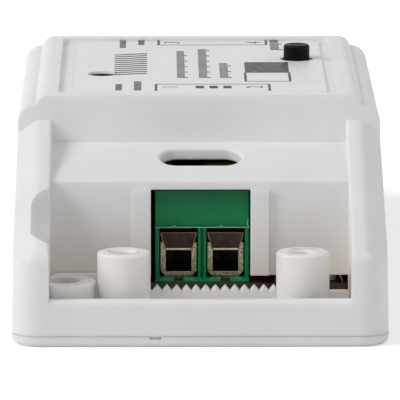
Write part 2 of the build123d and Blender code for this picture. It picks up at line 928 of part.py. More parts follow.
for pole, pole_offset in poles:
    pole_x = terminal_x + pole_offset

    with BuildPart() as clamp_cage:
        cage_span = (cage_front, cage_front + cage_depth)
        block(around(pole_x, cage_width), cage_span, (cage_bottom, cage_top))
        chamfer(edges().filter_by(Axis.Y).group_by(Axis.Z)[0], length=cage_corner)
        block(
            around(pole_x, cage_width - cage_sheet - cage_sheet),
            (cage_front - overrun, cage_front + cage_depth + overrun),
            (cage_bottom + cage_bottom_sheet, cage_top - cage_top_plate),
            Mode.SUBTRACT,
        )
        block(
            around(pole_x, cage_width + overrun),
            (cage_front - overrun, cage_front + cage_arm_depth),
            (cage_bottom + cage_arm_height, cage_top + overrun),
            Mode.SUBTRACT,
        )
        post(
            pole_x,
            clamp_screw_y,
            (cage_top - cage_top_plate - overrun / 2, cage_top + overrun),
            clamp_screw_diameter + fit_gap + fit_gap,
            Mode.SUBTRACT,
        )

    with BuildPart() as clamp_screw:
        post(
            pole_x,
            clamp_screw_y,
            (bar_top + fit_gap + fit_gap, head_seat + seat_gap),
            clamp_screw_diameter,
        )
        head_top = head_seat + seat_gap + clamp_head_height
        post(pole_x, clamp_screw_y, (head_seat + seat_gap, head_top), clamp_head_diameter)
        block(
            around(pole_x, clamp_head_diameter + overrun),
            around(clamp_screw_y, driver_slot_width),
            (head_top - driver_slot_depth, head_top + overrun),
            Mode.SUBTRACT,
        )

    with BuildPart() as contact_bar:
        block(around(pole_x, bar_width), (bar_front, bar_leg_back), (bar_height, bar_top))
        block(
            around(pole_x, bar_leg_width),
            (bar_leg_back - bar_leg_thickness, bar_leg_back),
            (leg_bottom, bar_top),
        )
        with BuildSketch(Plane.XY.offset(bar_height)):
            with Locations((pole_x, bar_front + lip_thickness / 2)):
                Rectangle(lip_low_width, lip_thickness)
        with BuildSketch(Plane.XY.offset(lip_high)):
            with Locations((pole_x, terminal_front + lip_high_set_back + lip_thickness / 2)):
                Rectangle(lip_high_width, lip_thickness)
        loft()

    for end, turn in ends:
        for piece, kind in (
            (clamp_cage, "clamp_cage"),
            (clamp_screw, "clamp_screw"),
            (contact_bar, "contact_bar"),
        ):
            placed = piece.part.rotate(Axis.Z, turn)
            placed.label = f"{end}_{pole}_{kind}"
            export_step(placed, f"parts/{end}_{pole}_{kind}.step")

# End cover of the output end, with its cable entry, two screw wells and the upper jaw

cover_half = bay_half_width + cover_plate_overlap
cover_back = end_run - slip_gap
cover_inside = bay_half_width - floor_gap
entry_x = (boss_left_x + boss_right_x) / 2
jaw_tip = rib_height + tooth_height + jaw_clearance
well_seat = boss_height + well_floor

with BuildPart() as end_cover:
    with BuildSketch(Plane.YZ):
        Polygon(
            (-half_length, rail_at(0) + fit_gap),
            (from_end(cover_back), rail_at(cover_back) + fit_gap),
            (from_end(cover_back), rail_at(cover_back) + cover_rise),
            (-half_length, rail_at(0) + cover_rise),
            align=None,
        )
    extrude(amount=cover_half, both=True)
    cover_top = faces().sort_by(lambda face: face.normal_at().Z)[-1]
    fillet(cover_top.edges().sort_by(Axis.Y)[:-1], radius=cover_edge_round)
    with BuildSketch(Plane.YZ):
        Polygon(
            (-half_length, front_wall_height + seat_gap),
            (from_end(cover_wall), front_wall_height + seat_gap),
            (from_end(cover_wall), rail_at(cover_wall) + cover_rise / 2),
            (-half_length, rail_at(0) + cover_rise / 2),
            align=None,
        )
    extrude(amount=cover_inside, both=True)
    for side in (-1, 1):
        with BuildSketch(Plane.YZ.offset(side * (cover_inside - cover_wall / 2))):
            wall_back = terminal_wall_distance - floor_gap - window_strip_depth
            wall_foot = boss_height
            Polygon(
                (-half_length, wall_foot),
                (from_end(wall_back), wall_foot),
                (from_end(wall_back), rail_at(wall_back) + cover_rise / 2),
                (-half_length, rail_at(0) + cover_rise / 2),
                align=None,
            )
        extrude(amount=cover_wall / 2, both=True)
    jaw_span = around(rib_y, jaw_thickness)
    block(
        (boss_left_x, boss_right_x),
        jaw_span,
        (jaw_tip + tooth_height, rail_at(rib_distance) + cover_rise / 2),
    )
    with BuildSketch(Plane.XZ.offset(-rib_y)):
        Polygon(*teeth(jaw_tip + tooth_height, -tooth_height), align=None)
    extrude(amount=jaw_thickness / 2, both=True)
    well_top = rail_at(rib_distance) + cover_rise / 2
    for boss_x in boss_places:
        post(boss_x, rib_y, (boss_height + seat_gap, well_top), well_diameter)
        post(boss_x, rib_y, (well_seat, housing_height), well_bore, Mode.SUBTRACT)
        post(
            boss_x,
            rib_y,
            (boss_height, housing_height),
            cover_screw_diameter + slip_gap,
            Mode.SUBTRACT,
        )
    with BuildSketch(Plane.XZ.offset(half_length + overrun)):
        with Locations((entry_x, front_wall_height)):
            RectangleRounded(cable_entry_width, 2 * cable_entry_height, cable_entry_round)
    extrude(amount=-(overrun + cover_wall + overrun / 2), mode=Mode.SUBTRACT)

placed_cover = end_cover.part.rotate(Axis.Z, ends[-1][1])
placed_cover.label = "end_cover"
export_step(placed_cover, "parts/end_cover.step")

with BuildPart() as cover_screws:
    for boss_x in boss_places:
        screw_tip = boss_height - cover_screw_reach
        head_bottom = well_seat + seat_gap
        head_face = head_bottom + cover_head_height
        post(boss_x, rib_y, (screw_tip, head_bottom), cover_screw_diameter)
        post(boss_x, rib_y, (head_bottom, head_face), cover_head_diameter)
        for across, along in (
            (cover_driver_length, cover_driver_width),
            (cover_driver_width, cover_driver_length),
        ):
            block(
                around(boss_x, across),
                around(rib_y, along),
                (head_face - cover_driver_depth, head_face + overrun),
                Mode.SUBTRACT,
            )

placed_screws = cover_screws.part.rotate(Axis.Z, ends[-1][1])
placed_screws.label = "cover_screws"
export_step(placed_screws, "parts/cover_screws.step")

# Push button and the switch under it

switch_top = board_top + switch_height
pocket_floor = switch_top - switch_pocket_depth
flange_top = switch_top - fit_gap
flange_bottom = flange_top - button_flange_thickness

with BuildPart() as switch_base:
    block(
        around(button_x, switch_width), around(button_y, switch_width), (board_top, switch_top)
    )
    post(
        button_x,
        button_y,
        (pocket_floor, switch_top + overrun),
        switch_pocket_diameter,
        Mode.SUBTRACT,
    )

switch_base.part.label = "switch_base"
export_step(switch_base.part, "parts/switch_base.step")

with BuildPart() as switch_frame:
    frame_top = switch_top + switch_frame_thickness
    frame_width = switch_width + switch_leg_thickness + switch_leg_thickness
    block(
        around(button_x, frame_width), around(button_y, switch_width), (switch_top, frame_top)
    )
    for leg_x in (button_x - switch_leg_x, button_x + switch_leg_x):
        for leg_y in around(button_y, switch_leg_y + switch_leg_y):
            block(
                around(leg_x, switch_leg_thickness),
                around(leg_y, switch_leg_width),
                (leg_bottom, frame_top),
            )
    post(
        button_x,
        button_y,
        (switch_top - overrun / 2, frame_top + overrun),
        switch_frame_hole,
        Mode.SUBTRACT,
    )

switch_frame.part.label = "switch_frame"
export_step(switch_frame.part, "parts/switch_frame.step")

with BuildPart() as switch_dome:
    dome_plane = Plane(
        origin=(button_x, button_y, pocket_floor), x_dir=(1, 0, 0), z_dir=(0, -1, 0)
    )
    with BuildSketch(dome_plane):
        with BuildLine():
            dome_radius = dome_diameter / 2
            inner_radius = dome_radius - dome_thickness
            TangentArc((0, dome_rise), (dome_radius, 0), tangent=(1, 0))
            Line((dome_radius, 0), (inner_radius, 0))
            TangentArc((0, dome_rise - dome_thickness), (inner_radius, 0), tangent=(1, 0))
            Line((0, dome_rise - dome_thickness), (0, dome_rise))
        make_face()
    revolve(axis=Axis((button_x, button_y, 0), (0, 0, 1)))

switch_dome.part.label = "switch_dome"
export_step(switch_dome.part, "parts/switch_dome.step")

with BuildPart() as button_stem:
    post(button_x, button_y, (flange_bottom, button_top), button_diameter)
    fillet(edges().sort_by(Axis.Z)[-1], radius=button_edge_round)
    post(button_x, button_y, (flange_bottom, flange_top), button_flange_diameter)
    dish_radius = button_dish_diameter**2 / (8 * button_dish_depth) + button_dish_depth / 2
    with Locations((button_x, button_y, button_top + dish_radius - button_dish_depth)):
        Sphere(dish_radius, mode=Mode.SUBTRACT)

button_stem.part.label = "button_stem"
export_step(button_stem.part, "parts/button_stem.step")

# Status lamp under its hole in the top, on a spacer, with two legs

lamp_round = lamp_top - lamp_diameter / 2
lamp_flange_top = lamp_round - lamp_body_height
spacer_top = lamp_flange_top - lamp_flange_thickness

with BuildPart() as status_lamp:
    post(lamp_x, lamp_y, (spacer_top, lamp_flange_top), lamp_flange_diameter)
    post(lamp_x, lamp_y, (lamp_flange_top, lamp_round), lamp_diameter)
    with Locations((lamp_x, lamp_y, lamp_round)):
        Sphere(lamp_diameter / 2)

status_lamp.part.label = "status_lamp"
export_step(status_lamp.part, "parts/status_lamp.step")

lamp_legs_at = around(lamp_x, lamp_leg_spacing)

with BuildPart() as lamp_spacer:
    post(lamp_x, lamp_y, (board_top, spacer_top), lamp_flange_diameter)
    for leg_x in lamp_legs_at:
        post(
            leg_x,
            lamp_y,
            (board_top - overrun, spacer_top + overrun),
            lamp_leg_diameter + fit_gap + fit_gap,
            Mode.SUBTRACT,
        )

lamp_spacer.part.label = "lamp_spacer"
export_step(lamp_spacer.part, "parts/lamp_spacer.step")

with BuildPart() as lamp_legs:
    for leg_x in lamp_legs_at:
        post(leg_x, lamp_y, (leg_bottom, spacer_top), lamp_leg_diameter)

lamp_legs.part.label = "lamp_legs"
export_step(lamp_legs.part, "parts/lamp_legs.step")

# Relay: a coil on an iron core pulls the hinged armature, whose leaf moves the contact

relay_floor = board_top + relay_base_height
relay_ceiling = board_top + relay_height - relay_wall
relay_inside_length = relay_length - relay_wall - relay_wall
relay_inside_width = relay_width - relay_wall - relay_wall
yoke_back = relay_x + yoke_x
yoke_top = relay_floor + yoke_height
bobbin_bottom = relay_floor + yoke_thickness
bobbin_top = bobbin_bottom + bobbin_height
coil_x = relay_x + bobbin_x
pole_top = bobbin_top + pole_face_thickness
armature_bottom = pole_top + armature_air_gap
armature_top = armature_bottom + armature_thickness
armature_end = yoke_back + armature_length
leaf_end = armature_end + leaf_length
leaf_top = armature_top + leaf_thickness
rivet_x = leaf_end - rivet_set_back
rivet_middle = armature_top + leaf_thickness / 2
pin_slot = relay_pin_width + fit_gap + fit_gap
pin_slot_thickness = relay_pin_thickness + fit_gap + fit_gap

with BuildPart() as relay_base:
    block(
        around(relay_x, relay_inside_length - fit_gap - fit_gap),
        around(relay_y, relay_inside_width - fit_gap - fit_gap),
        (board_top, relay_floor),
    )
    slot_cut = (board_top - overrun, relay_floor + overrun)
    for pin_x, pin_y in relay_pins_at:
        block(
            around(pin_x, pin_slot_thickness), around(pin_y, pin_slot), slot_cut, Mode.SUBTRACT
        )
    for name, pin_x, pin_y in fixed_contacts_at:
        block(
            around(pin_x, pin_slot_thickness), around(pin_y, pin_slot), slot_cut, Mode.SUBTRACT
        )

relay_base.part.label = "relay_base"
export_step(relay_base.part, "parts/relay_base.step")

with BuildPart() as relay_case:
    block(
        around(relay_x, relay_length),
        around(relay_y, relay_width),
        (board_top, board_top + relay_height),
    )
    fillet(edges().filter_by(Axis.Z), radius=relay_wall / 2)
    block(
        around(relay_x, relay_inside_length),
        around(relay_y, relay_inside_width),
        (board_top - overrun, relay_ceiling),
        Mode.SUBTRACT,
    )

relay_case.part.label = "relay_case"
export_step(relay_case.part, "parts/relay_case.step")

with BuildPart() as relay_yoke:
    yoke_side = around(relay_y, yoke_width)
    block((yoke_back, yoke_back + yoke_foot), yoke_side, (relay_floor, bobbin_bottom))
    block((yoke_back, yoke_back + yoke_thickness), yoke_side, (relay_floor, yoke_top))

relay_yoke.part.label = "relay_yoke"
export_step(relay_yoke.part, "parts/relay_yoke.step")

with BuildPart() as relay_bobbin:
    for flange_span in (
        (bobbin_bottom, bobbin_bottom + bobbin_flange_thickness),
        (bobbin_top - bobbin_flange_thickness, bobbin_top),
    ):
        block(
            around(coil_x, bobbin_flange_width),
            around(relay_y, bobbin_flange_width),
            flange_span,
        )
    post(coil_x, relay_y, (bobbin_bottom, bobbin_top), bobbin_barrel_diameter)
    post(
        coil_x,
        relay_y,
        (bobbin_bottom - overrun, bobbin_top + overrun),
        core_diameter + fit_gap + fit_gap,
        Mode.SUBTRACT,
    )

relay_bobbin.part.label = "relay_bobbin"
export_step(relay_bobbin.part, "parts/relay_bobbin.step")

with BuildPart() as relay_coil:
    coil_span = (
        bobbin_bottom + bobbin_flange_thickness + seat_gap,
        bobbin_top - bobbin_flange_thickness - seat_gap,
    )
    post(coil_x, relay_y, coil_span, coil_diameter)
    post(coil_x, relay_y, coil_span, bobbin_barrel_diameter + fit_gap, Mode.SUBTRACT)

relay_coil.part.label = "relay_coil"
export_step(relay_coil.part, "parts/relay_coil.step")

with BuildPart() as relay_core:
    post(coil_x, relay_y, (bobbin_bottom, bobbin_top + seat_gap), core_diameter)
    post(coil_x, relay_y, (bobbin_top + seat_gap, pole_top), pole_face_diameter)

relay_core.part.label = "relay_core"
export_step(relay_core.part, "parts/relay_core.step")

with BuildPart() as relay_armature:
    block(
        (yoke_back, armature_end),
        around(relay_y, armature_width),
        (armature_bottom, armature_top),
    )

relay_armature.part.label = "relay_armature"
export_step(relay_armature.part, "parts/relay_armature.step")

with BuildPart() as moving_contact:
    block(
        (armature_end - leaf_overlap, leaf_end),
        around(relay_y, leaf_width),
        (armature_top, leaf_top),
    )
    post(rivet_x, relay_y, around(rivet_middle, 2 * rivet_height), rivet_diameter)

moving_contact.part.label = "moving_contact"
export_step(moving_contact.part, "parts/moving_contact.step")

closed_finger = rivet_middle + rivet_height + fit_gap
open_finger = rivet_middle - rivet_height - contact_gap - contact_post_thickness

for (name, pin_x, pin_y), finger_bottom in zip(fixed_contacts_at, (open_finger, closed_finger)):
    with BuildPart() as fixed_contact:
        finger_top = finger_bottom + contact_post_thickness
        post_side = around(pin_y, contact_post_width)
        block(
            around(pin_x, contact_post_thickness), post_side, (relay_floor, finger_top)
        )
        block(
            (pin_x + contact_post_thickness / 2 - contact_finger_reach, pin_x),
            (relay_y - contact_post_width / 2, post_side[1]),
            (finger_bottom, finger_top),
        )
        block(
            around(pin_x, relay_pin_thickness),
            around(pin_y, relay_pin_width),
            (leg_bottom, relay_floor + seat_gap),
        )
    fixed_contact.part.label = f"{name}_contact"
    export_step(fixed_contact.part, f"parts/{name}_contact.step")

with BuildPart() as relay_pins:
    for pin_x, pin_y in relay_pins_at[:-1]:
        block(
            around(pin_x, relay_pin_thickness),
            around(pin_y, relay_pin_width),
            (leg_bottom, relay_floor + coil_pin_rise),
        )
    common_x, common_y = relay_pins_at[-1]
    block(
        around(common_x, relay_pin_thickness),
        around(common_y, relay_pin_width),
        (leg_bottom, relay_floor),
    )

relay_pins.part.label = "relay_pins"
export_step(relay_pins.part, "parts/relay_pins.step")

# Power supply and the small parts on the board

with BuildPart() as fuse_resistor:
    fuse_z = board_top + fuse_resistor_diameter / 2
    with Locations((fuse_resistor_x, fuse_resistor_y, fuse_z)):
        Cylinder(fuse_resistor_diameter / 2, fuse_resistor_length, rotation=(90, 0, 0))
    fillet(edges(), radius=fuse_lead_diameter)
    with Locations((fuse_resistor_x, fuse_resistor_y, fuse_z)):
        Cylinder(fuse_lead_diameter / 2, fuse_reach + fuse_reach, rotation=(90, 0, 0))
    for lead_y in around(fuse_resistor_y, fuse_reach + fuse_reach):
        post(fuse_resistor_x, lead_y, (leg_bottom, fuse_z), fuse_lead_diameter)
        with Locations((fuse_resistor_x, lead_y, fuse_z)):
            Sphere(fuse_lead_diameter / 2)

fuse_resistor.part.label = "fuse_resistor"
export_step(fuse_resistor.part, "parts/fuse_resistor.step")

with BuildPart() as varistor:
    varistor_z = board_top + varistor_stand + varistor_diameter / 2
    with Locations((varistor_x, varistor_y, varistor_z)):
        Cylinder(varistor_diameter / 2, varistor_thickness, rotation=(90, 0, 0))
    fillet(edges(), radius=varistor_edge)
    for lead_x in around(varistor_x, varistor_lead_spacing):
        post(lead_x, varistor_y, (leg_bottom, varistor_z), varistor_lead_diameter)

varistor.part.label = "varistor"
export_step(varistor.part, "parts/varistor.step")

for name, can_x, can_y, can_diameter, can_height in (
    (
        "large_capacitor",
        large_capacitor_x,
        large_capacitor_y,
        large_capacitor_diameter,
        large_capacitor_height,
    ),
    (
        "small_capacitor",
        small_capacitor_x,
        small_capacitor_y,
        small_capacitor_diameter,
        small_capacitor_height,
    ),
):
    with BuildPart() as capacitor:
        can_top = board_top + can_height
        bead_z = board_top + capacitor_bead_height
        post(can_x, can_y, (board_top, can_top), can_diameter)
        fillet(edges(), radius=capacitor_edge)
        with Locations((can_x, can_y, bead_z)):
            Torus(can_diameter / 2, capacitor_bead, mode=Mode.SUBTRACT)
    capacitor.part.label = name
    export_step(capacitor.part, f"parts/{name}.step")

for name, box_x, box_y, box_width, box_length, box_height, box_edge in (
    (
        "film_capacitor",
        film_capacitor_x,
        film_capacitor_y,
        film_capacitor_length,
        film_capacitor_width,
        film_capacitor_height,
        film_capacitor_edge,
    ),
    (
        "bridge_rectifier",
        bridge_x,
        bridge_y,
        bridge_length,
        bridge_width,
        bridge_height,
        chip_edge,
    ),
    ("power_chip", chip_x, chip_y, chip_width, chip_length, chip_height, chip_edge),
):
    with BuildPart() as boxed_piece:
        block(
            around(box_x, box_width),
            around(box_y, box_length),
            (board_top, board_top + box_height),
        )
        chamfer(faces().sort_by(Axis.Z)[-1].edges(), length=box_edge)
    boxed_piece.part.label = name
    export_step(boxed_piece.part, f"parts/{name}.step")

# Transformer: a ferrite core of two E halves round a bobbin and its winding

core_top = board_top + transformer_height
core_window = (board_top + transformer_limb, core_top - transformer_limb)
window_outside = transformer_length - transformer_limb - transformer_limb
tube_width = transformer_centre_limb + 2 * (fit_gap + bobbin_tube_wall)
tube_length = transformer_core_width + 2 * (fit_gap + bobbin_tube_wall)

with BuildPart() as transformer_core:
    core_side = around(transformer_y, transformer_core_width)
    block(around(transformer_x, transformer_length), core_side, (board_top, core_top))
    block(
        around(transformer_x, window_outside),
        around(transformer_y, transformer_core_width + overrun),
        core_window,
        Mode.SUBTRACT,
    )
    block(around(transformer_x, transformer_centre_limb), core_side, (board_top, core_top))

transformer_core.part.label = "transformer_core"
export_step(transformer_core.part, "parts/transformer_core.step")

with BuildPart() as transformer_bobbin:
    end_spans = (
        (core_window[0] + seat_gap, core_window[0] + bobbin_end_thickness),
        (core_window[1] - bobbin_end_thickness, core_window[1] - seat_gap),
    )
    for end_span in end_spans:
        block(
            around(transformer_x, window_outside - fit_gap - fit_gap),
            around(transformer_y, bobbin_end_width),
            end_span,
        )
    block(
        around(transformer_x, tube_width),
        around(transformer_y, tube_length),
        (end_spans[0][0], end_spans[1][1]),
    )
    block(
        around(transformer_x, transformer_centre_limb + fit_gap + fit_gap),
        around(transformer_y, transformer_core_width + fit_gap + fit_gap),
        core_window,
        Mode.SUBTRACT,
    )

transformer_bobbin.part.label = "transformer_bobbin"
export_step(transformer_bobbin.part, "parts/transformer_bobbin.step")

with BuildPart() as transformer_winding:
    winding_span = (end_spans[0][1] + seat_gap, end_spans[1][0] - seat_gap)
    block(
        around(transformer_x, tube_width + 2 * winding_thickness),
        around(transformer_y, tube_length + 2 * winding_thickness),
        winding_span,
    )
    fillet(edges().filter_by(Axis.Z), radius=winding_thickness)
    block(
        around(transformer_x, tube_width + fit_gap),
        around(transformer_y, tube_length + fit_gap),
        (board_top, core_top),
        Mode.SUBTRACT,
    )

transformer_winding.part.label = "transformer_winding"
export_step(transformer_winding.part, "parts/transformer_winding.step")

# Radio board on edge along the right wall, its header and its shield can

radio_bottom = board_top + radio_board_lift
radio_top = radio_bottom + radio_board_height
radio_face = radio_board_x - radio_board_thickness / 2
shield_top = radio_top - shield_drop

with BuildPart() as radio_board:
    block(
        around(radio_board_x, radio_board_thickness),
        around(radio_board_y, radio_board_length),
        (radio_bottom, radio_top),
    )

radio_board.part.label = "radio_board"
export_step(radio_board.part, "parts/radio_board.step")

with BuildPart() as radio_header:
    block(
        (radio_face - header_width, radio_face),
        around(radio_board_y, header_length),
        (board_top, board_top + header_height),
    )

radio_header.part.label = "radio_header"
export_step(radio_header.part, "parts/radio_header.step")

with BuildPart() as radio_shield:
    shield_span = around(radio_board_y, shield_length)
    shield_rise = (shield_top - shield_height, shield_top)
    block((radio_face - shield_thickness, radio_face), shield_span, shield_rise)
    fillet(edges().filter_by(Axis.X), radius=shield_sheet)
    block(
        (radio_face - shield_thickness + shield_sheet, radio_face + overrun),
        (shield_span[0] + shield_sheet, shield_span[1] - shield_sheet),
        (shield_rise[0] + shield_sheet, shield_rise[1] - shield_sheet),
        Mode.SUBTRACT,
    )

radio_shield.part.label = "radio_shield"
export_step(radio_shield.part, "parts/radio_shield.step")
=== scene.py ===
import math

import bmesh
import bpy
from bpy.props import FloatProperty, FloatVectorProperty, IntProperty, PointerProperty
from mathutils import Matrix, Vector


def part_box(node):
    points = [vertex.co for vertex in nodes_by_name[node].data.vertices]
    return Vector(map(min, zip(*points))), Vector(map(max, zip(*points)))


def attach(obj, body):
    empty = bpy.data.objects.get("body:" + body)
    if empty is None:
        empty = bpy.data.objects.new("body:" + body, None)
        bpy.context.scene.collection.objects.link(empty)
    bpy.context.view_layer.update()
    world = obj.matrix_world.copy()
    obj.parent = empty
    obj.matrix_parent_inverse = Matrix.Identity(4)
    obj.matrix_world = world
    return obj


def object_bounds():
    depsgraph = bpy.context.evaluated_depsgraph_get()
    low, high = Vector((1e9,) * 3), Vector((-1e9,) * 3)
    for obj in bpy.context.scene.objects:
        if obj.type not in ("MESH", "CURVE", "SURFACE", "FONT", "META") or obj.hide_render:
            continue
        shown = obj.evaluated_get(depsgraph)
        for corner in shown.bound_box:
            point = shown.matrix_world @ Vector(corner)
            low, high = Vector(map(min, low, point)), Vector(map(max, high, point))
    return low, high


bl_info = {
    "name": "Smart relay module finishes",
    "version": (1, 0, 0),
    "blender": (4, 5, 0),
    "location": "View3D > Sidebar > Relay module",
    "description": "Dresses the relay module: moulded shells, label, terminals, board and stage",
    "category": "Object",
}

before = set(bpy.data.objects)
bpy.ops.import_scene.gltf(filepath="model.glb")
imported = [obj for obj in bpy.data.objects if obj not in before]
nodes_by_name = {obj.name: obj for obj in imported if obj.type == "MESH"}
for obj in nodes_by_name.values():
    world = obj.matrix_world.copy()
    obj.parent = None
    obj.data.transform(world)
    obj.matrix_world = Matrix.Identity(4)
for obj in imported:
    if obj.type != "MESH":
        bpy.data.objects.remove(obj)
cad_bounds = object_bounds()

MM = 0.001
MICRON = 0.000001


def srgb(red, green, blue):
    """A colour given as screen values from 0 to 255, as the linear values that a finish takes."""
    shares = [value / 255 for value in (red, green, blue)]
    return tuple(
        share / 12.92 if share <= 0.04045 else ((share + 0.055) / 1.055) ** 2.4
        for share in shares
    )


def colour(name, description, default):
    """A colour that can be picked in the panel."""
    return FloatVectorProperty(
        name=name, description=description, subtype="COLOR", size=3, min=0, max=1, default=default
    )


def distance(name, description, default):
    """A length that can be set in the panel, in metres."""
    return FloatProperty(
        name=name, description=description, subtype="DISTANCE", unit="LENGTH", min=0,
        precision=5, default=default,
    )


class RelayFinishes(bpy.types.PropertyGroup):
    shell: colour("Shell", "Plastic of the upper housing", srgb(238, 238, 238))
    base: colour("Base", "Plastic of the base plate", srgb(240, 238, 236))
    # Painted warm shade: the white plastic turns to this tint low in the wiring bays
    deep: colour(
        "Deep", "Warm tone of the white plastic low in the wiring bay", srgb(234, 223, 212)
    )
    cover: colour("Cover", "Plastic of the end cover", srgb(237, 237, 237))
    label: colour("Label", "Film of the label", srgb(240, 240, 241))
    ink: colour("Ink", "Print on the label", srgb(26, 25, 30))
    terminal: colour("Terminal", "Plastic of the screw terminals", srgb(9, 127, 77))
    # The flash's paler green is a painted highlight along the seam
    flash: colour("Flash", "Pale mould flash of the terminals", srgb(136, 204, 164))
    cage: colour("Cage", "Plated steel of the clamp cages", srgb(206, 190, 164))
    bar: colour("Bar", "Tinned and browned metal of the current bars", srgb(98, 78, 70))
    screw: colour("Screw", "Yellow zinc of the clamp screws", srgb(150, 120, 88))
    button: colour("Button", "Plastic of the push button", srgb(5, 5, 6))
    laminate: colour("Laminate", "Paper laminate of the circuit board", srgb(62, 35, 22))


class RelaySizes(bpy.types.PropertyGroup):
    print_line: distance("Print line", "Width of a printed line", 0.27 * MM)
    print_rise: distance("Print rise", "Thickness of the ink on the film", 0.012 * MM)
    digit_height: distance("Digit height", "Height of the printed numbers", 2.6 * MM)
    edge_softness: distance("Edge softness", "Rounding of the moulded edges", 0.24 * MM)
    witness_width: distance("Witness width", "Width of the fine mould lines", 0.05 * MM)
    burr_width: distance("Burr width", "Thickness of the burrs round the boss mouths", 0.1 * MM)
    flash_rise: distance("Flash rise", "How far the terminal's mould flash stands out", 0.09 * MM)
    lead_diameter: distance("Lead diameter", "Wire of the clipped lead", 0.16 * MM)
    # Painted shade in the lamp's hole: a thin dark lining, its width and its wall
    hole_shade_diameter: distance("Sleeve diameter", "Dark sleeve in the lamp's hole", 2.96 * MM)
    hole_shade_wall: distance("Sleeve wall", "Thickness of the lamp's sleeve", 0.06 * MM)


class RelayStage(bpy.types.PropertyGroup):
    camera_x: FloatProperty(
        name="Camera X", description="Place of the camera across the module",
        subtype="DISTANCE", unit="LENGTH", default=-4.75 * MM
    )
    camera_distance: distance("Camera distance", "From the front wall to the camera", 635 * MM)
    camera_height: distance("Camera height", "Camera above the floor", 126.3 * MM)
    camera_pitch: FloatProperty(
        name="Camera pitch", description="How far the camera looks down", subtype="ANGLE",
        default=math.radians(9.884),
    )
    camera_yaw: FloatProperty(
        name="Camera yaw", description="How far the camera looks to the right", subtype="ANGLE",
        default=math.radians(0.424),
    )
    lens: FloatProperty(
        name="Lens", description="Focal length in millimetres", min=1, default=558.0
    )
    sky: FloatProperty(name="Sky", description="Light from all around", min=0, default=0.35)
    side: FloatProperty(
        name="Side lamp", description="Power of the lamp at the upper left", min=0, default=4.8
    )
    fill: FloatProperty(
        name="Fill lamp", description="Power of the low lamp at the right", min=0, default=1.3
    )
    front: FloatProperty(
        name="Front lamp", description="Power of the lamp above the camera", min=0, default=0.1
    )
    clear_ring: distance(
        "Shadow reach", "How far from the module the floor turns plain white", 90 * MM
    )


# Finishes

# Sockets of a colour mix: its first and second colour, and its result
MIX_FIRST, MIX_SECOND, MIX_RESULT = 6, 7, 2

# Where the wiring bays take their painted warm shade: heights, and distances from the module's
# middle
BAY_HEIGHT = (1 * MM, 13 * MM)
BAY_LENGTH = (40.5 * MM, 42.5 * MM)
BAY_WIDTH = (16.2 * MM, 17.0 * MM)

# The height at which the painted shade of the terminals' chambers ends
CHAMBER_TOP = (10.6 * MM, 10.8 * MM)

PLASTIC_IOR = 1.49
PLASTIC_GRAIN_DEPTH = 1.5 * MICRON
METAL_EDGE = 0.05 * MM


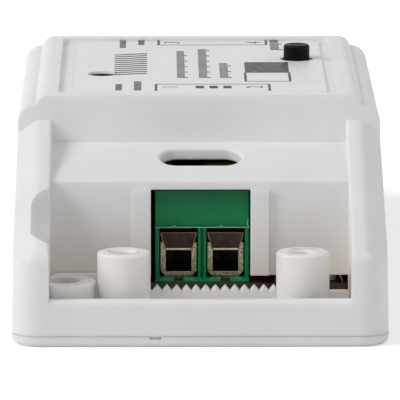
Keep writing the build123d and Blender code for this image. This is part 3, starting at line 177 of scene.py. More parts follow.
class Finish:
    """A material being built: one glossy skin, fed by patterns in the piece's own coordinates."""

    def __init__(self, name):
        self.material = bpy.data.materials.new(name)
        self.material.use_nodes = True
        self.nodes = self.material.node_tree.nodes
        self.links = self.material.node_tree.links
        self.nodes.clear()
        self.skin = self.nodes.new("ShaderNodeBsdfPrincipled")
        output = self.nodes.new("ShaderNodeOutputMaterial")
        self.links.new(self.skin.outputs["BSDF"], output.inputs["Surface"])
        self.place = self.nodes.new("ShaderNodeTexCoord").outputs["Object"]

    def stretched(self, scale):
        """The piece's coordinates, stretched along each axis."""
        mapping = self.nodes.new("ShaderNodeMapping")
        mapping.inputs["Scale"].default_value = scale
        self.links.new(self.place, mapping.inputs["Vector"])
        return mapping.outputs["Vector"]

    def cloud(self, size, detail=3.0, place=None):
        """A soft random pattern whose spots have a size in metres."""
        noise = self.nodes.new("ShaderNodeTexNoise")
        noise.inputs["Scale"].default_value = 1 / size
        noise.inputs["Detail"].default_value = detail
        self.links.new(place or self.place, noise.inputs["Vector"])
        return noise.outputs["Fac"]

    def cells(self, size):
        """A pattern of small cells, as in speckled plating."""
        cells = self.nodes.new("ShaderNodeTexVoronoi")
        cells.inputs["Scale"].default_value = 1 / size
        self.links.new(self.place, cells.inputs["Vector"])
        return cells.outputs["Distance"]

    def bands(self, size, axis):
        """Regular bands across an axis, as of wound wire."""
        wave = self.nodes.new("ShaderNodeTexWave")
        wave.bands_direction = axis
        wave.inputs["Scale"].default_value = math.pi / 10 / size
        self.links.new(self.place, wave.inputs["Vector"])
        return wave.outputs["Fac"]

    def spread(self, axis):
        """How far a place on the piece lies from the module's middle along an axis, in metres."""
        split = self.nodes.new("ShaderNodeSeparateXYZ")
        self.links.new(self.place, split.inputs[0])
        size = self.nodes.new("ShaderNodeMath")
        size.operation = "ABSOLUTE"
        self.links.new(split.outputs[axis], size.inputs[0])
        return size.outputs[0]

    def both(self, first, second):
        """Where two patterns both hold."""
        join = self.nodes.new("ShaderNodeMath")
        join.operation = "MULTIPLY"
        self.links.new(first, join.inputs[0])
        self.links.new(second, join.inputs[1])
        return join.outputs[0]

    def bay(self):
        """Where the painted warm shade falls: one low in the wiring bays, and nothing on the
        outside.
        """
        low = self.ranged(self.spread("Z"), 1, 0, *BAY_HEIGHT)
        deep = self.ranged(self.spread("Y"), 1, 0, *BAY_LENGTH)
        wide = self.ranged(self.spread("X"), 1, 0, *BAY_WIDTH)
        return self.both(self.both(low, deep), wide)

    def ranged(self, value, low, high, start=0.3, end=0.7):
        """A pattern's values, spread between two numbers."""
        spread = self.nodes.new("ShaderNodeMapRange")
        spread.inputs["From Min"].default_value = start
        spread.inputs["From Max"].default_value = end
        spread.inputs["To Min"].default_value = low
        spread.inputs["To Max"].default_value = high
        self.links.new(value, spread.inputs["Value"])
        return spread.outputs["Result"]

    def blend(self, share, first, second):
        """Two colours mixed by a pattern. Each is a colour or another pattern's output."""
        mix = self.nodes.new("ShaderNodeMix")
        mix.data_type = "RGBA"
        self.links.new(share, mix.inputs["Factor"])
        for number, value in ((MIX_FIRST, first), (MIX_SECOND, second)):
            socket = mix.inputs[number]
            if isinstance(value, bpy.types.NodeSocket):
                self.links.new(value, socket)
            else:
                socket.default_value = (*value, 1)
        return mix.outputs[MIX_RESULT]

    def paint(self, output, socket):
        """A pattern's output, on one of the skin's sockets."""
        self.links.new(output, self.skin.inputs[socket])

    def set(self, **values):
        """Constant values, straight on the skin's own sockets."""
        for name, value in values.items():
            self.skin.inputs[name.replace("_", " ")].default_value = value

    def soften(self, radius):
        """Normals rounded at the edges, as a mould leaves them."""
        bevel = self.nodes.new("ShaderNodeBevel")
        bevel.samples = 6
        bevel.inputs["Radius"].default_value = radius
        return bevel.outputs["Normal"]

    def edges(self, radius, start=0.02, end=0.2):
        """A pattern that is one along the sharp edges and nothing on the faces."""
        round_face = self.nodes.new("ShaderNodeBevel")
        round_face.samples = 8
        round_face.inputs["Radius"].default_value = radius
        flat_face = self.nodes.new("ShaderNodeNewGeometry")
        match = self.nodes.new("ShaderNodeVectorMath")
        match.operation = "DOT_PRODUCT"
        self.links.new(round_face.outputs["Normal"], match.inputs[0])
        self.links.new(flat_face.outputs["True Normal"], match.inputs[1])
        return self.ranged(match.outputs["Value"], 1, 0, 1 - end, 1 - start)

    def deepen(self, where, share):
        """The tint so far, brought down to a share of itself where a pattern is one."""
        tint = self.skin.inputs["Base Color"]
        mix = self.nodes.new("ShaderNodeMix")
        mix.data_type = "RGBA"
        mix.blend_type = "MULTIPLY"
        mix.inputs[MIX_SECOND].default_value = (share, share, share, 1)
        self.links.new(where, mix.inputs["Factor"])
        self.links.new(tint.links[0].from_socket, mix.inputs[MIX_FIRST])
        self.links.new(mix.outputs[MIX_RESULT], tint)

    def paint_shade_above(self, start, end, share):
        """Painted shade: a darker tone towards the top."""
        self.deepen(self.ranged(self.spread("Z"), 0, 1, start, end), share)

    def paint_shade_inside(self, start, reach, share):
        """Painted shade far inside the chambers, inwards from a distance to the module's middle.
        """
        deep = self.ranged(self.spread("Y"), 1, 0, start - reach, start)
        low = self.ranged(self.spread("Z"), 1, 0, *CHAMBER_TOP)
        self.deepen(self.both(deep, low), share)

    def relief(self, pattern, depth, strength=1.0, below=None):
        """A fine relief of a depth in metres, laid over softened edges or another relief."""
        bump = self.nodes.new("ShaderNodeBump")
        bump.inputs["Strength"].default_value = strength
        bump.inputs["Distance"].default_value = depth
        self.links.new(pattern, bump.inputs["Height"])
        if below:
            self.links.new(below, bump.inputs["Normal"])
        return bump.outputs["Normal"]


def shade(tint, share):
    """A colour made darker or lighter by a share."""
    return tuple(min(value * share, 1) for value in tint)


def moulded(name, tint, glow=0.0, rough=(0.38, 0.5), grain=0.12 * MM, spots=0.03, low=None):
    """Injection-moulded plastic: cloudy tint, fine eroded grain and softened edges, and, where a
    low tint is given, painted warm shade low in the wiring bays.
    """
    finish = Finish(name)
    drift = finish.ranged(finish.cloud(9 * MM, 2.0), 0, 1)
    body = finish.blend(drift, shade(tint, 1 - spots), shade(tint, 1 + spots / 2))
    # Painted warm shade low in the wiring bays
    if low:
        body = finish.blend(finish.bay(), body, low)
    finish.paint(body, "Base Color")
    wear = finish.cloud(1.4 * MM, 4.0)
    finish.paint(finish.ranged(wear, *rough), "Roughness")
    edges = finish.soften(bpy.context.scene.relay_sizes.edge_softness)
    flow = finish.relief(finish.cloud(2.5 * MM, 1.0), 6 * MICRON, 0.5, edges)
    texture = finish.cloud(grain, 2.0)
    finish.paint(finish.relief(texture, PLASTIC_GRAIN_DEPTH, 0.6, flow), "Normal")
    finish.set(IOR=PLASTIC_IOR)
    if glow:
        finish.set(
            Subsurface_Weight=glow,
            Subsurface_Radius=(1.0, 0.78, 0.62),
            Subsurface_Scale=1.2 * MM,
        )
    return finish


def printed_ink():
    """Screen ink with thin and thick spots."""
    finish = Finish("label_ink")
    tint = bpy.context.scene.relay_finishes.ink
    spots = finish.ranged(finish.cloud(0.25 * MM, 3.0), 0, 1)
    finish.paint(finish.blend(spots, shade(tint, 0.8), shade(tint, 1.5)), "Base Color")
    finish.paint(finish.ranged(finish.cloud(0.6 * MM), 0.4, 0.6), "Roughness")
    finish.paint(finish.relief(finish.cloud(0.1 * MM), 2 * MICRON, 0.5), "Normal")
    return finish


def label_film():
    """Satin film, with the slight waves of a label laid by hand, and painted shade along its cut
    edges.
    """
    finish = Finish("label_film")
    tint = bpy.context.scene.relay_finishes.label
    drift = finish.ranged(finish.cloud(6 * MM, 2.0), 0, 1)
    film = finish.blend(drift, shade(tint, 0.97), tint)
    # Darker along the cut edges: painted shade
    finish.paint(finish.blend(finish.edges(0.14 * MM), film, shade(tint, 0.66)), "Base Color")
    finish.paint(finish.ranged(finish.cloud(2 * MM, 4.0), 0.34, 0.48), "Roughness")
    waves = finish.relief(finish.cloud(5 * MM, 1.0), 20 * MICRON, 0.5)
    finish.paint(finish.relief(finish.cloud(0.08 * MM), 1.0 * MICRON, 0.6, waves), "Normal")
    return finish


def plated_steel(name, tint, rough=(0.28, 0.46), grain=0.12 * MM, dark=0.45):
    """Stamped and plated sheet, speckled where the tool sheared it."""
    finish = Finish(name)
    speckle = finish.ranged(finish.cells(grain), 0, 1, 0.1, 0.75)
    drift = finish.ranged(finish.cloud(0.7 * MM, 3.0), 0, 1)
    worn = finish.blend(drift, shade(tint, 0.75), tint)
    spotted = finish.blend(speckle, shade(tint, dark), worn)
    # Lighter along the edges: painted highlight
    finish.paint(finish.blend(finish.edges(METAL_EDGE), spotted, shade(tint, 1.3)), "Base Color")
    finish.paint(finish.ranged(finish.cloud(0.3 * MM, 4.0), *rough), "Roughness")
    edges = finish.soften(0.06 * MM)
    finish.paint(finish.relief(finish.cells(grain), 6 * MICRON, 0.5, edges), "Normal")
    finish.set(Metallic=1.0)
    return finish


def drawn_metal(name, tint, rough=(0.22, 0.4), axis=2, edge_highlight=None):
    """Rolled or drawn metal with fine lines along one axis, and a painted highlight along its
    edges.
    """
    finish = Finish(name)
    scale = [1.0, 1.0, 1.0]
    scale[axis] = 0.06
    lines = finish.cloud(0.09 * MM, 3.0, finish.stretched(scale))
    tarnish = finish.ranged(finish.cloud(0.9 * MM, 3.0), 0, 1)
    skin = finish.blend(tarnish, shade(tint, 0.62), shade(tint, 1.08))
    # Lighter along the edges: painted highlight
    skin = finish.blend(finish.edges(METAL_EDGE), skin, edge_highlight or shade(tint, 1.35))
    finish.paint(skin, "Base Color")
    finish.paint(finish.ranged(lines, *rough), "Roughness")
    edges = finish.soften(METAL_EDGE)
    finish.paint(finish.relief(lines, 3 * MICRON, 0.5, edges), "Normal")
    finish.set(Metallic=1.0)
    return finish


def paper_laminate():
    """Brown paper laminate, cloudy, with its layers along the edge."""
    finish = Finish("paper_laminate")
    tint = bpy.context.scene.relay_finishes.laminate
    drift = finish.ranged(finish.cloud(1.2 * MM, 4.0), 0, 1)
    layers = finish.ranged(finish.cloud(0.3 * MM, 2.0, finish.stretched((0.2, 0.2, 3.0))), 0, 1)
    body = finish.blend(drift, shade(tint, 0.7), tint)
    finish.paint(finish.blend(layers, shade(tint, 0.55), body), "Base Color")
    finish.paint(finish.ranged(finish.cloud(0.5 * MM), 0.4, 0.62), "Roughness")
    finish.paint(finish.relief(finish.cloud(0.15 * MM), 4 * MICRON, 0.5), "Normal")
    return finish


def wound_wire(name, tint, pitch, axis):
    """Turns of enamelled wire, side by side, with painted shade between the turns."""
    finish = Finish(name)
    turns = finish.bands(pitch, axis)
    drift = finish.ranged(finish.cloud(1.5 * MM), 0, 1)
    body = finish.blend(drift, shade(tint, 0.8), tint)
    # Dark between the turns: painted shade
    finish.paint(finish.blend(turns, shade(tint, 0.3), body), "Base Color")
    finish.paint(finish.ranged(finish.cloud(0.4 * MM), 0.2, 0.36), "Roughness")
    finish.paint(finish.relief(turns, pitch / 3, 0.9), "Normal")
    finish.set(Metallic=0.85)
    return finish


def clear_lens():
    """Smoked lens of the status lamp, dark when it is off."""
    finish = Finish("lamp_lens")
    drift = finish.ranged(finish.cloud(1 * MM), 0, 1)
    body = finish.blend(drift, srgb(58, 58, 60), srgb(84, 84, 84))
    finish.paint(body, "Base Color")
    finish.paint(finish.ranged(finish.cloud(0.6 * MM), 0.12, 0.22), "Roughness")
    finish.paint(finish.relief(finish.cloud(0.3 * MM), 2 * MICRON, 0.4), "Normal")
    finish.set(Transmission_Weight=0.2)
    return finish


def dress(finish, *names):
    """Puts a finish on CAD nodes, in place of the one they came with."""
    for name in names:
        slots = nodes_by_name[name].data.materials
        slots.clear()
        slots.append(finish.material)


# Mesh work


def piece(name, mesh_work, finish, body="module"):
    """A new object from a bmesh: its finish and the body it rides on."""
    mesh = bpy.data.meshes.new(name)
    mesh_work.to_mesh(mesh)
    mesh_work.free()
    mesh.materials.append(finish.material)
    obj = bpy.data.objects.new(name, mesh)
    bpy.context.scene.collection.objects.link(obj)
    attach(obj, body)


def add_prism(mesh_work, outline, bottom, top):
    """A closed prism on a flat outline of X and Y places, between two heights."""
    low = [mesh_work.verts.new((x, y, bottom)) for x, y in outline]
    high = [mesh_work.verts.new((x, y, top)) for x, y in outline]
    mesh_work.faces.new(list(reversed(low)))
    mesh_work.faces.new(high)
    count = len(outline)
    for number in range(count):
        after = (number + 1) % count
        mesh_work.faces.new((low[number], low[after], high[after], high[number]))


def add_bar(mesh_work, x_span, y_span, z_span):
    """A closed block between two places on each axis."""
    outline = [
        (x_span[0], y_span[0]),
        (x_span[1], y_span[0]),
        (x_span[1], y_span[1]),
        (x_span[0], y_span[1]),
    ]
    add_prism(mesh_work, outline, z_span[0], z_span[1])


def add_tube(name, points, diameter, finish, body="module"):
    """A round wire through a few points, as a curve."""
    curve = bpy.data.curves.new(name, "CURVE")
    curve.dimensions = "3D"
    curve.bevel_depth = diameter / 2
    curve.bevel_resolution = 4
    curve.use_fill_caps = True
    spline = curve.splines.new("BEZIER")
    spline.bezier_points.add(len(points) - 1)
    for point, place in zip(spline.bezier_points, points):
        point.co = place
        point.handle_left_type = point.handle_right_type = "AUTO"
    curve.materials.append(finish.material)
    obj = bpy.data.objects.new(name, curve)
    bpy.context.scene.collection.objects.link(obj)
    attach(obj, body)


# Stage


SENSOR_WIDTH = 36.0
CLIP_RANGE = (10 * MM, 20.0)

# Each lamp's name, place and width in metres, and the stage value that is its power
LAMPS = (
    ("side_lamp", (-0.72, -0.3, 0.56), 0.48, "side"),
    ("fill_lamp", (0.7, -0.3, 0.5), 0.5, "fill"),
    ("front_lamp", (0.25, -0.8, 0.45), 0.7, "front"),
)
LAMP_TARGET = (0, 0, 10 * MM)

FLOOR_HALF = 2.0
FLOOR_CELLS = 24
FLOOR_GRAIN = 900
FLOOR_TINTS = (0.85, 0.87)
FLOOR_STRETCH = (1.0, 0.62, 0.0)  # the module is long, so the clear ring is too
FADE_START = 0.3
FADE_LOW = 0.4


class RELAY_OT_stage(bpy.types.Operator):
    """Sets the camera, the lamps, the sky and a pale floor round the module"""

    bl_idname = "relay.stage"
    bl_label = "Stage and camera"

    def execute(self, context):
        stage = context.scene.relay_stage
        context.scene.view_settings.view_transform = "Standard"
        self.camera(context, stage)
        for name, place, size, power in LAMPS:
            self.lamp(context, name, place, size, getattr(stage, power))
        self.sky(context, stage.sky)
        self.floor(stage.clear_ring)
        return {"FINISHED"}

    def camera(self, context, stage):
        """The camera of the photo, low in front of the open end."""
        data = bpy.data.cameras.new("camera")
        data.lens = stage.lens
        data.sensor_width = SENSOR_WIDTH
        data.clip_start, data.clip_end = CLIP_RANGE
        camera = bpy.data.objects.new("camera", data)
        front = cad_bounds[0][1]
        camera.location = (stage.camera_x, front - stage.camera_distance, stage.camera_height)
        camera.rotation_euler = (math.pi / 2 - stage.camera_pitch, 0, -stage.camera_yaw)
        context.scene.collection.objects.link(camera)
        context.scene.camera = camera

    def lamp(self, context, name, place, size, power):
        """A round lamp that faces the module."""
        data = bpy.data.lights.new(name, "AREA")
        data.shape = "DISK"
        data.size = size
        data.energy = power
        lamp = bpy.data.objects.new(name, data)
        lamp.location = place
        away = Vector(LAMP_TARGET) - Vector(place)
        lamp.rotation_euler = away.to_track_quat("-Z", "Y").to_euler()
        context.scene.collection.objects.link(lamp)

    def sky(self, context, strength):
        """An even light, which the eye sees as plain white."""
        world = bpy.data.worlds.new("studio")
        context.scene.world = world
        world.use_nodes = True
        nodes, links = world.node_tree.nodes, world.node_tree.links
        nodes.clear()
        output = nodes.new("ShaderNodeOutputWorld")
        seen = nodes.new("ShaderNodeBackground")
        felt = nodes.new("ShaderNodeBackground")
        seen.inputs["Strength"].default_value = 1.0
        felt.inputs["Strength"].default_value = strength
        for background in (seen, felt):
            background.inputs["Color"].default_value = (1, 1, 1, 1)
        mix = nodes.new("ShaderNodeMixShader")
        links.new(white_to_eye(nodes, links), mix.inputs[0])
        links.new(felt.outputs[0], mix.inputs[1])
        links.new(seen.outputs[0], mix.inputs[2])
        links.new(mix.outputs[0], output.inputs["Surface"])

    def floor(self, reach):
        """Pale paper that keeps the module's shadow and turns plain white further out."""
        work = bmesh.new()
        bmesh.ops.create_grid(
            work, x_segments=FLOOR_CELLS, y_segments=FLOOR_CELLS, size=FLOOR_HALF
        )
        mesh = bpy.data.meshes.new("floor")
        work.to_mesh(mesh)
        work.free()
        material = bpy.data.materials.new("pale_floor")
        material.use_nodes = True
        nodes, links = material.node_tree.nodes, material.node_tree.links
        nodes.clear()
        place = nodes.new("ShaderNodeTexCoord")
        away = nodes.new("ShaderNodeVectorMath")
        away.operation = "LENGTH"
        stretch = nodes.new("ShaderNodeVectorMath")
        stretch.operation = "MULTIPLY"
        stretch.inputs[1].default_value = FLOOR_STRETCH
        links.new(place.outputs["Object"], stretch.inputs[0])
        links.new(stretch.outputs[0], away.inputs[0])
        fade = nodes.new("ShaderNodeMapRange")
        fade.interpolation_type = "SMOOTHSTEP"
        fade.inputs["From Min"].default_value = reach * FADE_START
        fade.inputs["From Max"].default_value = reach
        fade.inputs["To Min"].default_value = FADE_LOW
        links.new(away.outputs["Value"], fade.inputs["Value"])
        grain = nodes.new("ShaderNodeTexNoise")
        grain.inputs["Scale"].default_value = FLOOR_GRAIN
        links.new(place.outputs["Object"], grain.inputs["Vector"])
        tint = nodes.new("ShaderNodeMix")
        tint.data_type = "RGBA"
        for socket, grey in zip((MIX_FIRST, MIX_SECOND), FLOOR_TINTS):
            tint.inputs[socket].default_value = (grey, grey, grey, 1)
        links.new(grain.outputs["Fac"], tint.inputs["Factor"])
        output = nodes.new("ShaderNodeOutputMaterial")
        paper = nodes.new("ShaderNodeBsdfDiffuse")
        links.new(tint.outputs[MIX_RESULT], paper.inputs["Color"])
        lift = nodes.new("ShaderNodeEmission")
        bright = nodes.new("ShaderNodeMath")
        bright.operation = "MULTIPLY"
        links.new(white_to_eye(nodes, links), bright.inputs[0])
        links.new(fade.outputs["Result"], bright.inputs[1])
        links.new(bright.outputs[0], lift.inputs["Strength"])
        both = nodes.new("ShaderNodeAddShader")
        links.new(paper.outputs[0], both.inputs[0])
        links.new(lift.outputs[0], both.inputs[1])
        links.new(both.outputs[0], output.inputs["Surface"])
        mesh.materials.append(material)
        floor = bpy.data.objects.new("floor", mesh)
        bpy.context.scene.collection.objects.link(floor)


def white_to_eye(nodes, links):
    """One for what the eye, gloss and clear plastic see, nothing for light on the module."""
    path = nodes.new("ShaderNodeLightPath")
    most = path.outputs["Is Camera Ray"]
    for name in ("Is Glossy Ray", "Is Transmission Ray"):
        pick = nodes.new("ShaderNodeMath")
        pick.operation = "MAXIMUM"
        links.new(most, pick.inputs[0])
        links.new(path.outputs[name], pick.inputs[1])
        most = pick.outputs[0]
    return most


# Shells


# Mould lines in millimetres: across, then from one height to another
MOULD_LINES = (
    (-15.2, 6.4, 14.8),
    (-12.9, 6.4, 9.4),
    (-7.8, 8.4, 11.8),
    (12.4, 5.6, 14.8),
)
MOULD_LINE_WALL = 13.03
MOULD_LINE_SWAY = 0.03

# Burrs: across in millimetres, then where each starts and how far it goes round, in degrees
BOSS_BURRS = ((-8.0, 150, 80), (-8.0, 285, 65), (10.8, 20, 120), (10.8, 200, 50))
BURR_STEPS = 6
BURR_ROW = -38.4
BURR_RADIUS = 1.62
BURR_SWELL = 0.05
BURR_HEIGHT = 9.2
BURR_WAVE = 0.03


class RELAY_OT_shells(bpy.types.Operator):
    """Finishes the upper housing, the base plate and the end cover with its screws"""

    bl_idname = "relay.shells"
    bl_label = "Moulded shells"

    def execute(self, context):
        tints = context.scene.relay_finishes
        # The shell takes painted warm shade low in its wiring bays
        shell = moulded("shell_plastic", tints.shell, glow=0.35, low=tints.deep)
        dress(shell, "upper_housing")
        base = moulded("base_plastic", tints.base, glow=0.45)
        dress(base, "base_plate")
        self.mould_lines(context.scene.relay_sizes, shell)
        self.burrs(context.scene.relay_sizes, base)
        dress(moulded("cover_plastic", tints.cover, glow=0.35), "end_cover")
        dress(drawn_metal("cover_screw_steel", srgb(190, 190, 188)), "cover_screws")
        return {"FINISHED"}

    def mould_lines(self, sizes, shell):
        """Fine upright lines that the mould's inserts leave on the terminal wall."""
        wall = cad_bounds[0][1] + MOULD_LINE_WALL * MM
        for number, (x, low, high) in enumerate(MOULD_LINES):
            places = []
            for share in (0.0, 0.33, 0.67, 1.0):
                sway = MOULD_LINE_SWAY * math.sin(5 * share + number)
                places.append(((x + sway) * MM, wall, (low + (high - low) * share) * MM))
            name = f"mould_line_{number + 1}"
            add_tube(name, places, sizes.witness_width, shell)

    def burrs(self, sizes, base):
        """Short burrs round the screw mouths of the near bosses."""
        for number, (x, start, reach) in enumerate(BOSS_BURRS):
            places = []
            for step in range(BURR_STEPS + 1):
                turn = math.radians(start + reach * step / BURR_STEPS)
                radius = BURR_RADIUS + BURR_SWELL * math.sin(2.3 * step + number)
                across = x + radius * math.cos(turn)
                along = BURR_ROW + radius * math.sin(turn)
                height = BURR_HEIGHT + BURR_WAVE * math.sin(1.9 * step + 2 * number)
                places.append((across * MM, along * MM, height * MM))
            add_tube(f"boss_burr_{number + 1}", places, sizes.burr_width, base)


# Label


# Printed forms in millimetres: across, along from the front wall, and what each one needs
BRACKETS = (
    ((-4.6, 7.7), (26.8, 31.5), True),
    ((-4.3, 7.9), (60.5, 64.8), False),
)
BLOCKS = (
    ((-9.0, -8.3), (27.2, 31.7)),
    ((-7.0, -6.2), (27.2, 33.8)),
    ((-8.7, -8.0), (58.3, 65.2)),
    ((-6.6, -5.9), (60.5, 64.8)),
    ((-0.3, 0.6), (28.6, 30.4)),
    ((1.2, 2.1), (28.6, 30.4)),
    ((2.7, 3.6), (28.6, 30.4)),
)
BLOCK_STRIPES = 7
STRIPE_SHARE = 0.76
HATCH = ((-9.2, -5.6), (38.0, 54.0), 11)
HATCH_RISE = 0.3
HATCH_SHARE = 0.44
SCALES = (
    ((-2.3, -1.1), (36.0, 55.2), 24),
    ((0.1, 1.4), (36.0, 56.7), 26),
    ((2.4, 3.7), (36.0, 46.1), 12),
    ((8.3, 9.7), (56.6, 64.3), 9),
)
LONG_TICK = 5
SHORT_TICK_REACH = 0.72
TICK_SHARE = 0.62
FORM = ((5.2, 10.05), (33.4, 47.4))
FORM_FIELD_START = 0.45
POLE_NUMBERS = (("1", -3.0, 29.5), ("2", 6.2, 29.5), ("3", -2.7, 62.2), ("4", 6.6, 62.2))


class RELAY_OT_label(bpy.types.Operator):
    """Finishes the label and prints plain brackets, numbers, scales and hatching on it"""

    bl_idname = "relay.label"
    bl_label = "Label and print"

    def execute(self, context):
        sizes = context.scene.relay_sizes
        dress(label_film(), "label")
        film_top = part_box("label")[1][2]
        self.height = (film_top, film_top + sizes.print_rise)
        self.line = sizes.print_line / MM
        self.front = cad_bounds[0][1]
        ink = printed_ink()
        work = bmesh.new()
        for x_span, y_span, opens_near in BRACKETS:
            self.bracket(work, x_span, y_span, opens_near)
        for x_span, y_span in BLOCKS:
            self.stripes(work, x_span, y_span)
        self.hatch(work, *HATCH)
        for x_span, y_span, count in SCALES:
            self.scale(work, x_span, y_span, count)
        self.form(work, *FORM)
        for number, x, y in POLE_NUMBERS:
            self.number(sizes, number, x, y, ink)
        piece("label_print", work, ink)
        return {"FINISHED"}

    def number(self, sizes, text, x, y, ink):
        """A plain printed number, read along the module from its near end."""
        curve = bpy.data.curves.new(f"pole_number_{text}", "FONT")
        curve.body = text
        curve.size = sizes.digit_height
        curve.extrude = sizes.print_rise / 2
        curve.align_x = "CENTER"
        curve.align_y = "CENTER"
        curve.materials.append(ink.material)
        obj = bpy.data.objects.new(f"pole_number_{text}", curve)
        obj.location = (x * MM, self.front + y * MM, self.height[0] + sizes.print_rise / 2)
        obj.rotation_euler = (0, 0, math.pi / 2)
        bpy.context.scene.collection.objects.link(obj)
        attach(obj, "module")

    def ink(self, work, x_span, y_span):
        """A printed rectangle, by its places in millimetres across and from the front wall."""
        xs = [x * MM for x in x_span]
        ys = [self.front + y * MM for y in y_span]
        add_bar(work, xs, ys, self.height)

    def bracket(self, work, x_span, y_span, opens_near):
        """A bracket of one long line with two short ones, open to the near or the far end."""
        half = self.line / 2
        long_y = y_span[1] if opens_near else y_span[0]
        self.ink(work, x_span, (long_y - half, long_y + half))
        for x in x_span:
            self.ink(work, (x - half, x + half), y_span)

    def stripes(self, work, x_span, y_span):
        """A small block of stripes across."""
        step = (y_span[1] - y_span[0]) / BLOCK_STRIPES
        for number in range(BLOCK_STRIPES):
            start = y_span[0] + number * step
            self.ink(work, x_span, (start, start + step * STRIPE_SHARE))

    def hatch(self, work, x_span, y_span, count):
        """A panel of slanting lines."""
        step = (y_span[1] - y_span[0]) / count
        rise = (x_span[1] - x_span[0]) * HATCH_RISE
        width = step * HATCH_SHARE
        left, right = x_span
        for number in range(count):
            start = y_span[0] + number * step
            corners = (
                (left, start),
                (right, start + rise),
                (right, start + rise + width),
                (left, start + width),
            )
            add_prism(work, [(x * MM, self.front + y * MM) for x, y in corners], *self.height)

    def scale(self, work, x_span, y_span, count):
        """A scale of ticks, every fifth one long."""
        step = (y_span[1] - y_span[0]) / count
        short = x_span[0] + (x_span[1] - x_span[0]) * SHORT_TICK_REACH
        for number in range(count + 1):
            start = y_span[0] + number * step
            reach = short if number % LONG_TICK else x_span[1]
            self.ink(work, (x_span[0], reach), (start, start + step * TICK_SHARE))

    def form(self, work, x_span, y_span):
        """A small empty form: a filled field over an open one."""
        half = self.line / 2
        middle = y_span[0] + (y_span[1] - y_span[0]) * FORM_FIELD_START
        self.ink(work, x_span, (middle, y_span[1]))
        self.ink(work, x_span, (y_span[0], y_span[0] + self.line))
        for x in x_span:
            self.ink(work, (x - half, x + half), (y_span[0], middle))


# Terminals

POLES = ("line", "neutral")

# Painted shade towards the terminals' top: the height where it starts and ends, and the share of
# the tint that is left there
GREEN_SHADE_ABOVE = (11.8 * MM, 15.2 * MM, 0.55)

# Painted shade inside the chambers: from a distance to the module's middle, how far it fades, and
# the share
GREEN_SHADE_INSIDE = (28.9 * MM, 1.0 * MM, 0.1)
CAGE_SHADE_INSIDE = (28.25 * MM, 0.4 * MM, 0.12)
BAR_SHADE_INSIDE = (28.3 * MM, 0.6 * MM, 0.1)
SCREW_SHADE_INSIDE = (28.0 * MM, 1.0 * MM, 0.12)

# The flash in millimetres: a ridge along the seam, two nubs over the poles, and a curl at one end
SEAM_HEIGHT = 10.37
RIDGE_STEPS = 40
RIDGE_ROOT = 0.12
RIDGE_BELOW, RIDGE_ABOVE = 0.6, 0.5
NUB_OFFSETS = (-2.95, 2.05)
NUB_STEPS = 8
NUB_RADIUS = 0.2
NUB_DROP = 0.09
NUB_REACH = (-0.09, 0.03)
CURL_PLACES = ((0.12, 0.95), (0.2, 0.6), (0.16, 0.25), (0.04, 0.02))
CURL_DIAMETER = 0.1
CURL_PROUD = 0.02

# The painted highlights along a current bar's guide lip, in millimetres. The lip widens upwards
LIP_FOOT_HALF, LIP_TOP_HALF = 1.36, 1.92
LIP_REACH = 0.6
LIP_FOOT_HEIGHT = 7.56
LIP_PROUD = 0.02
LIP_SIDE_DIAMETER = 0.09
FOOT_HALF = 1.34
FOOT_RISE = 0.16
FOOT_DIAMETER = 0.3


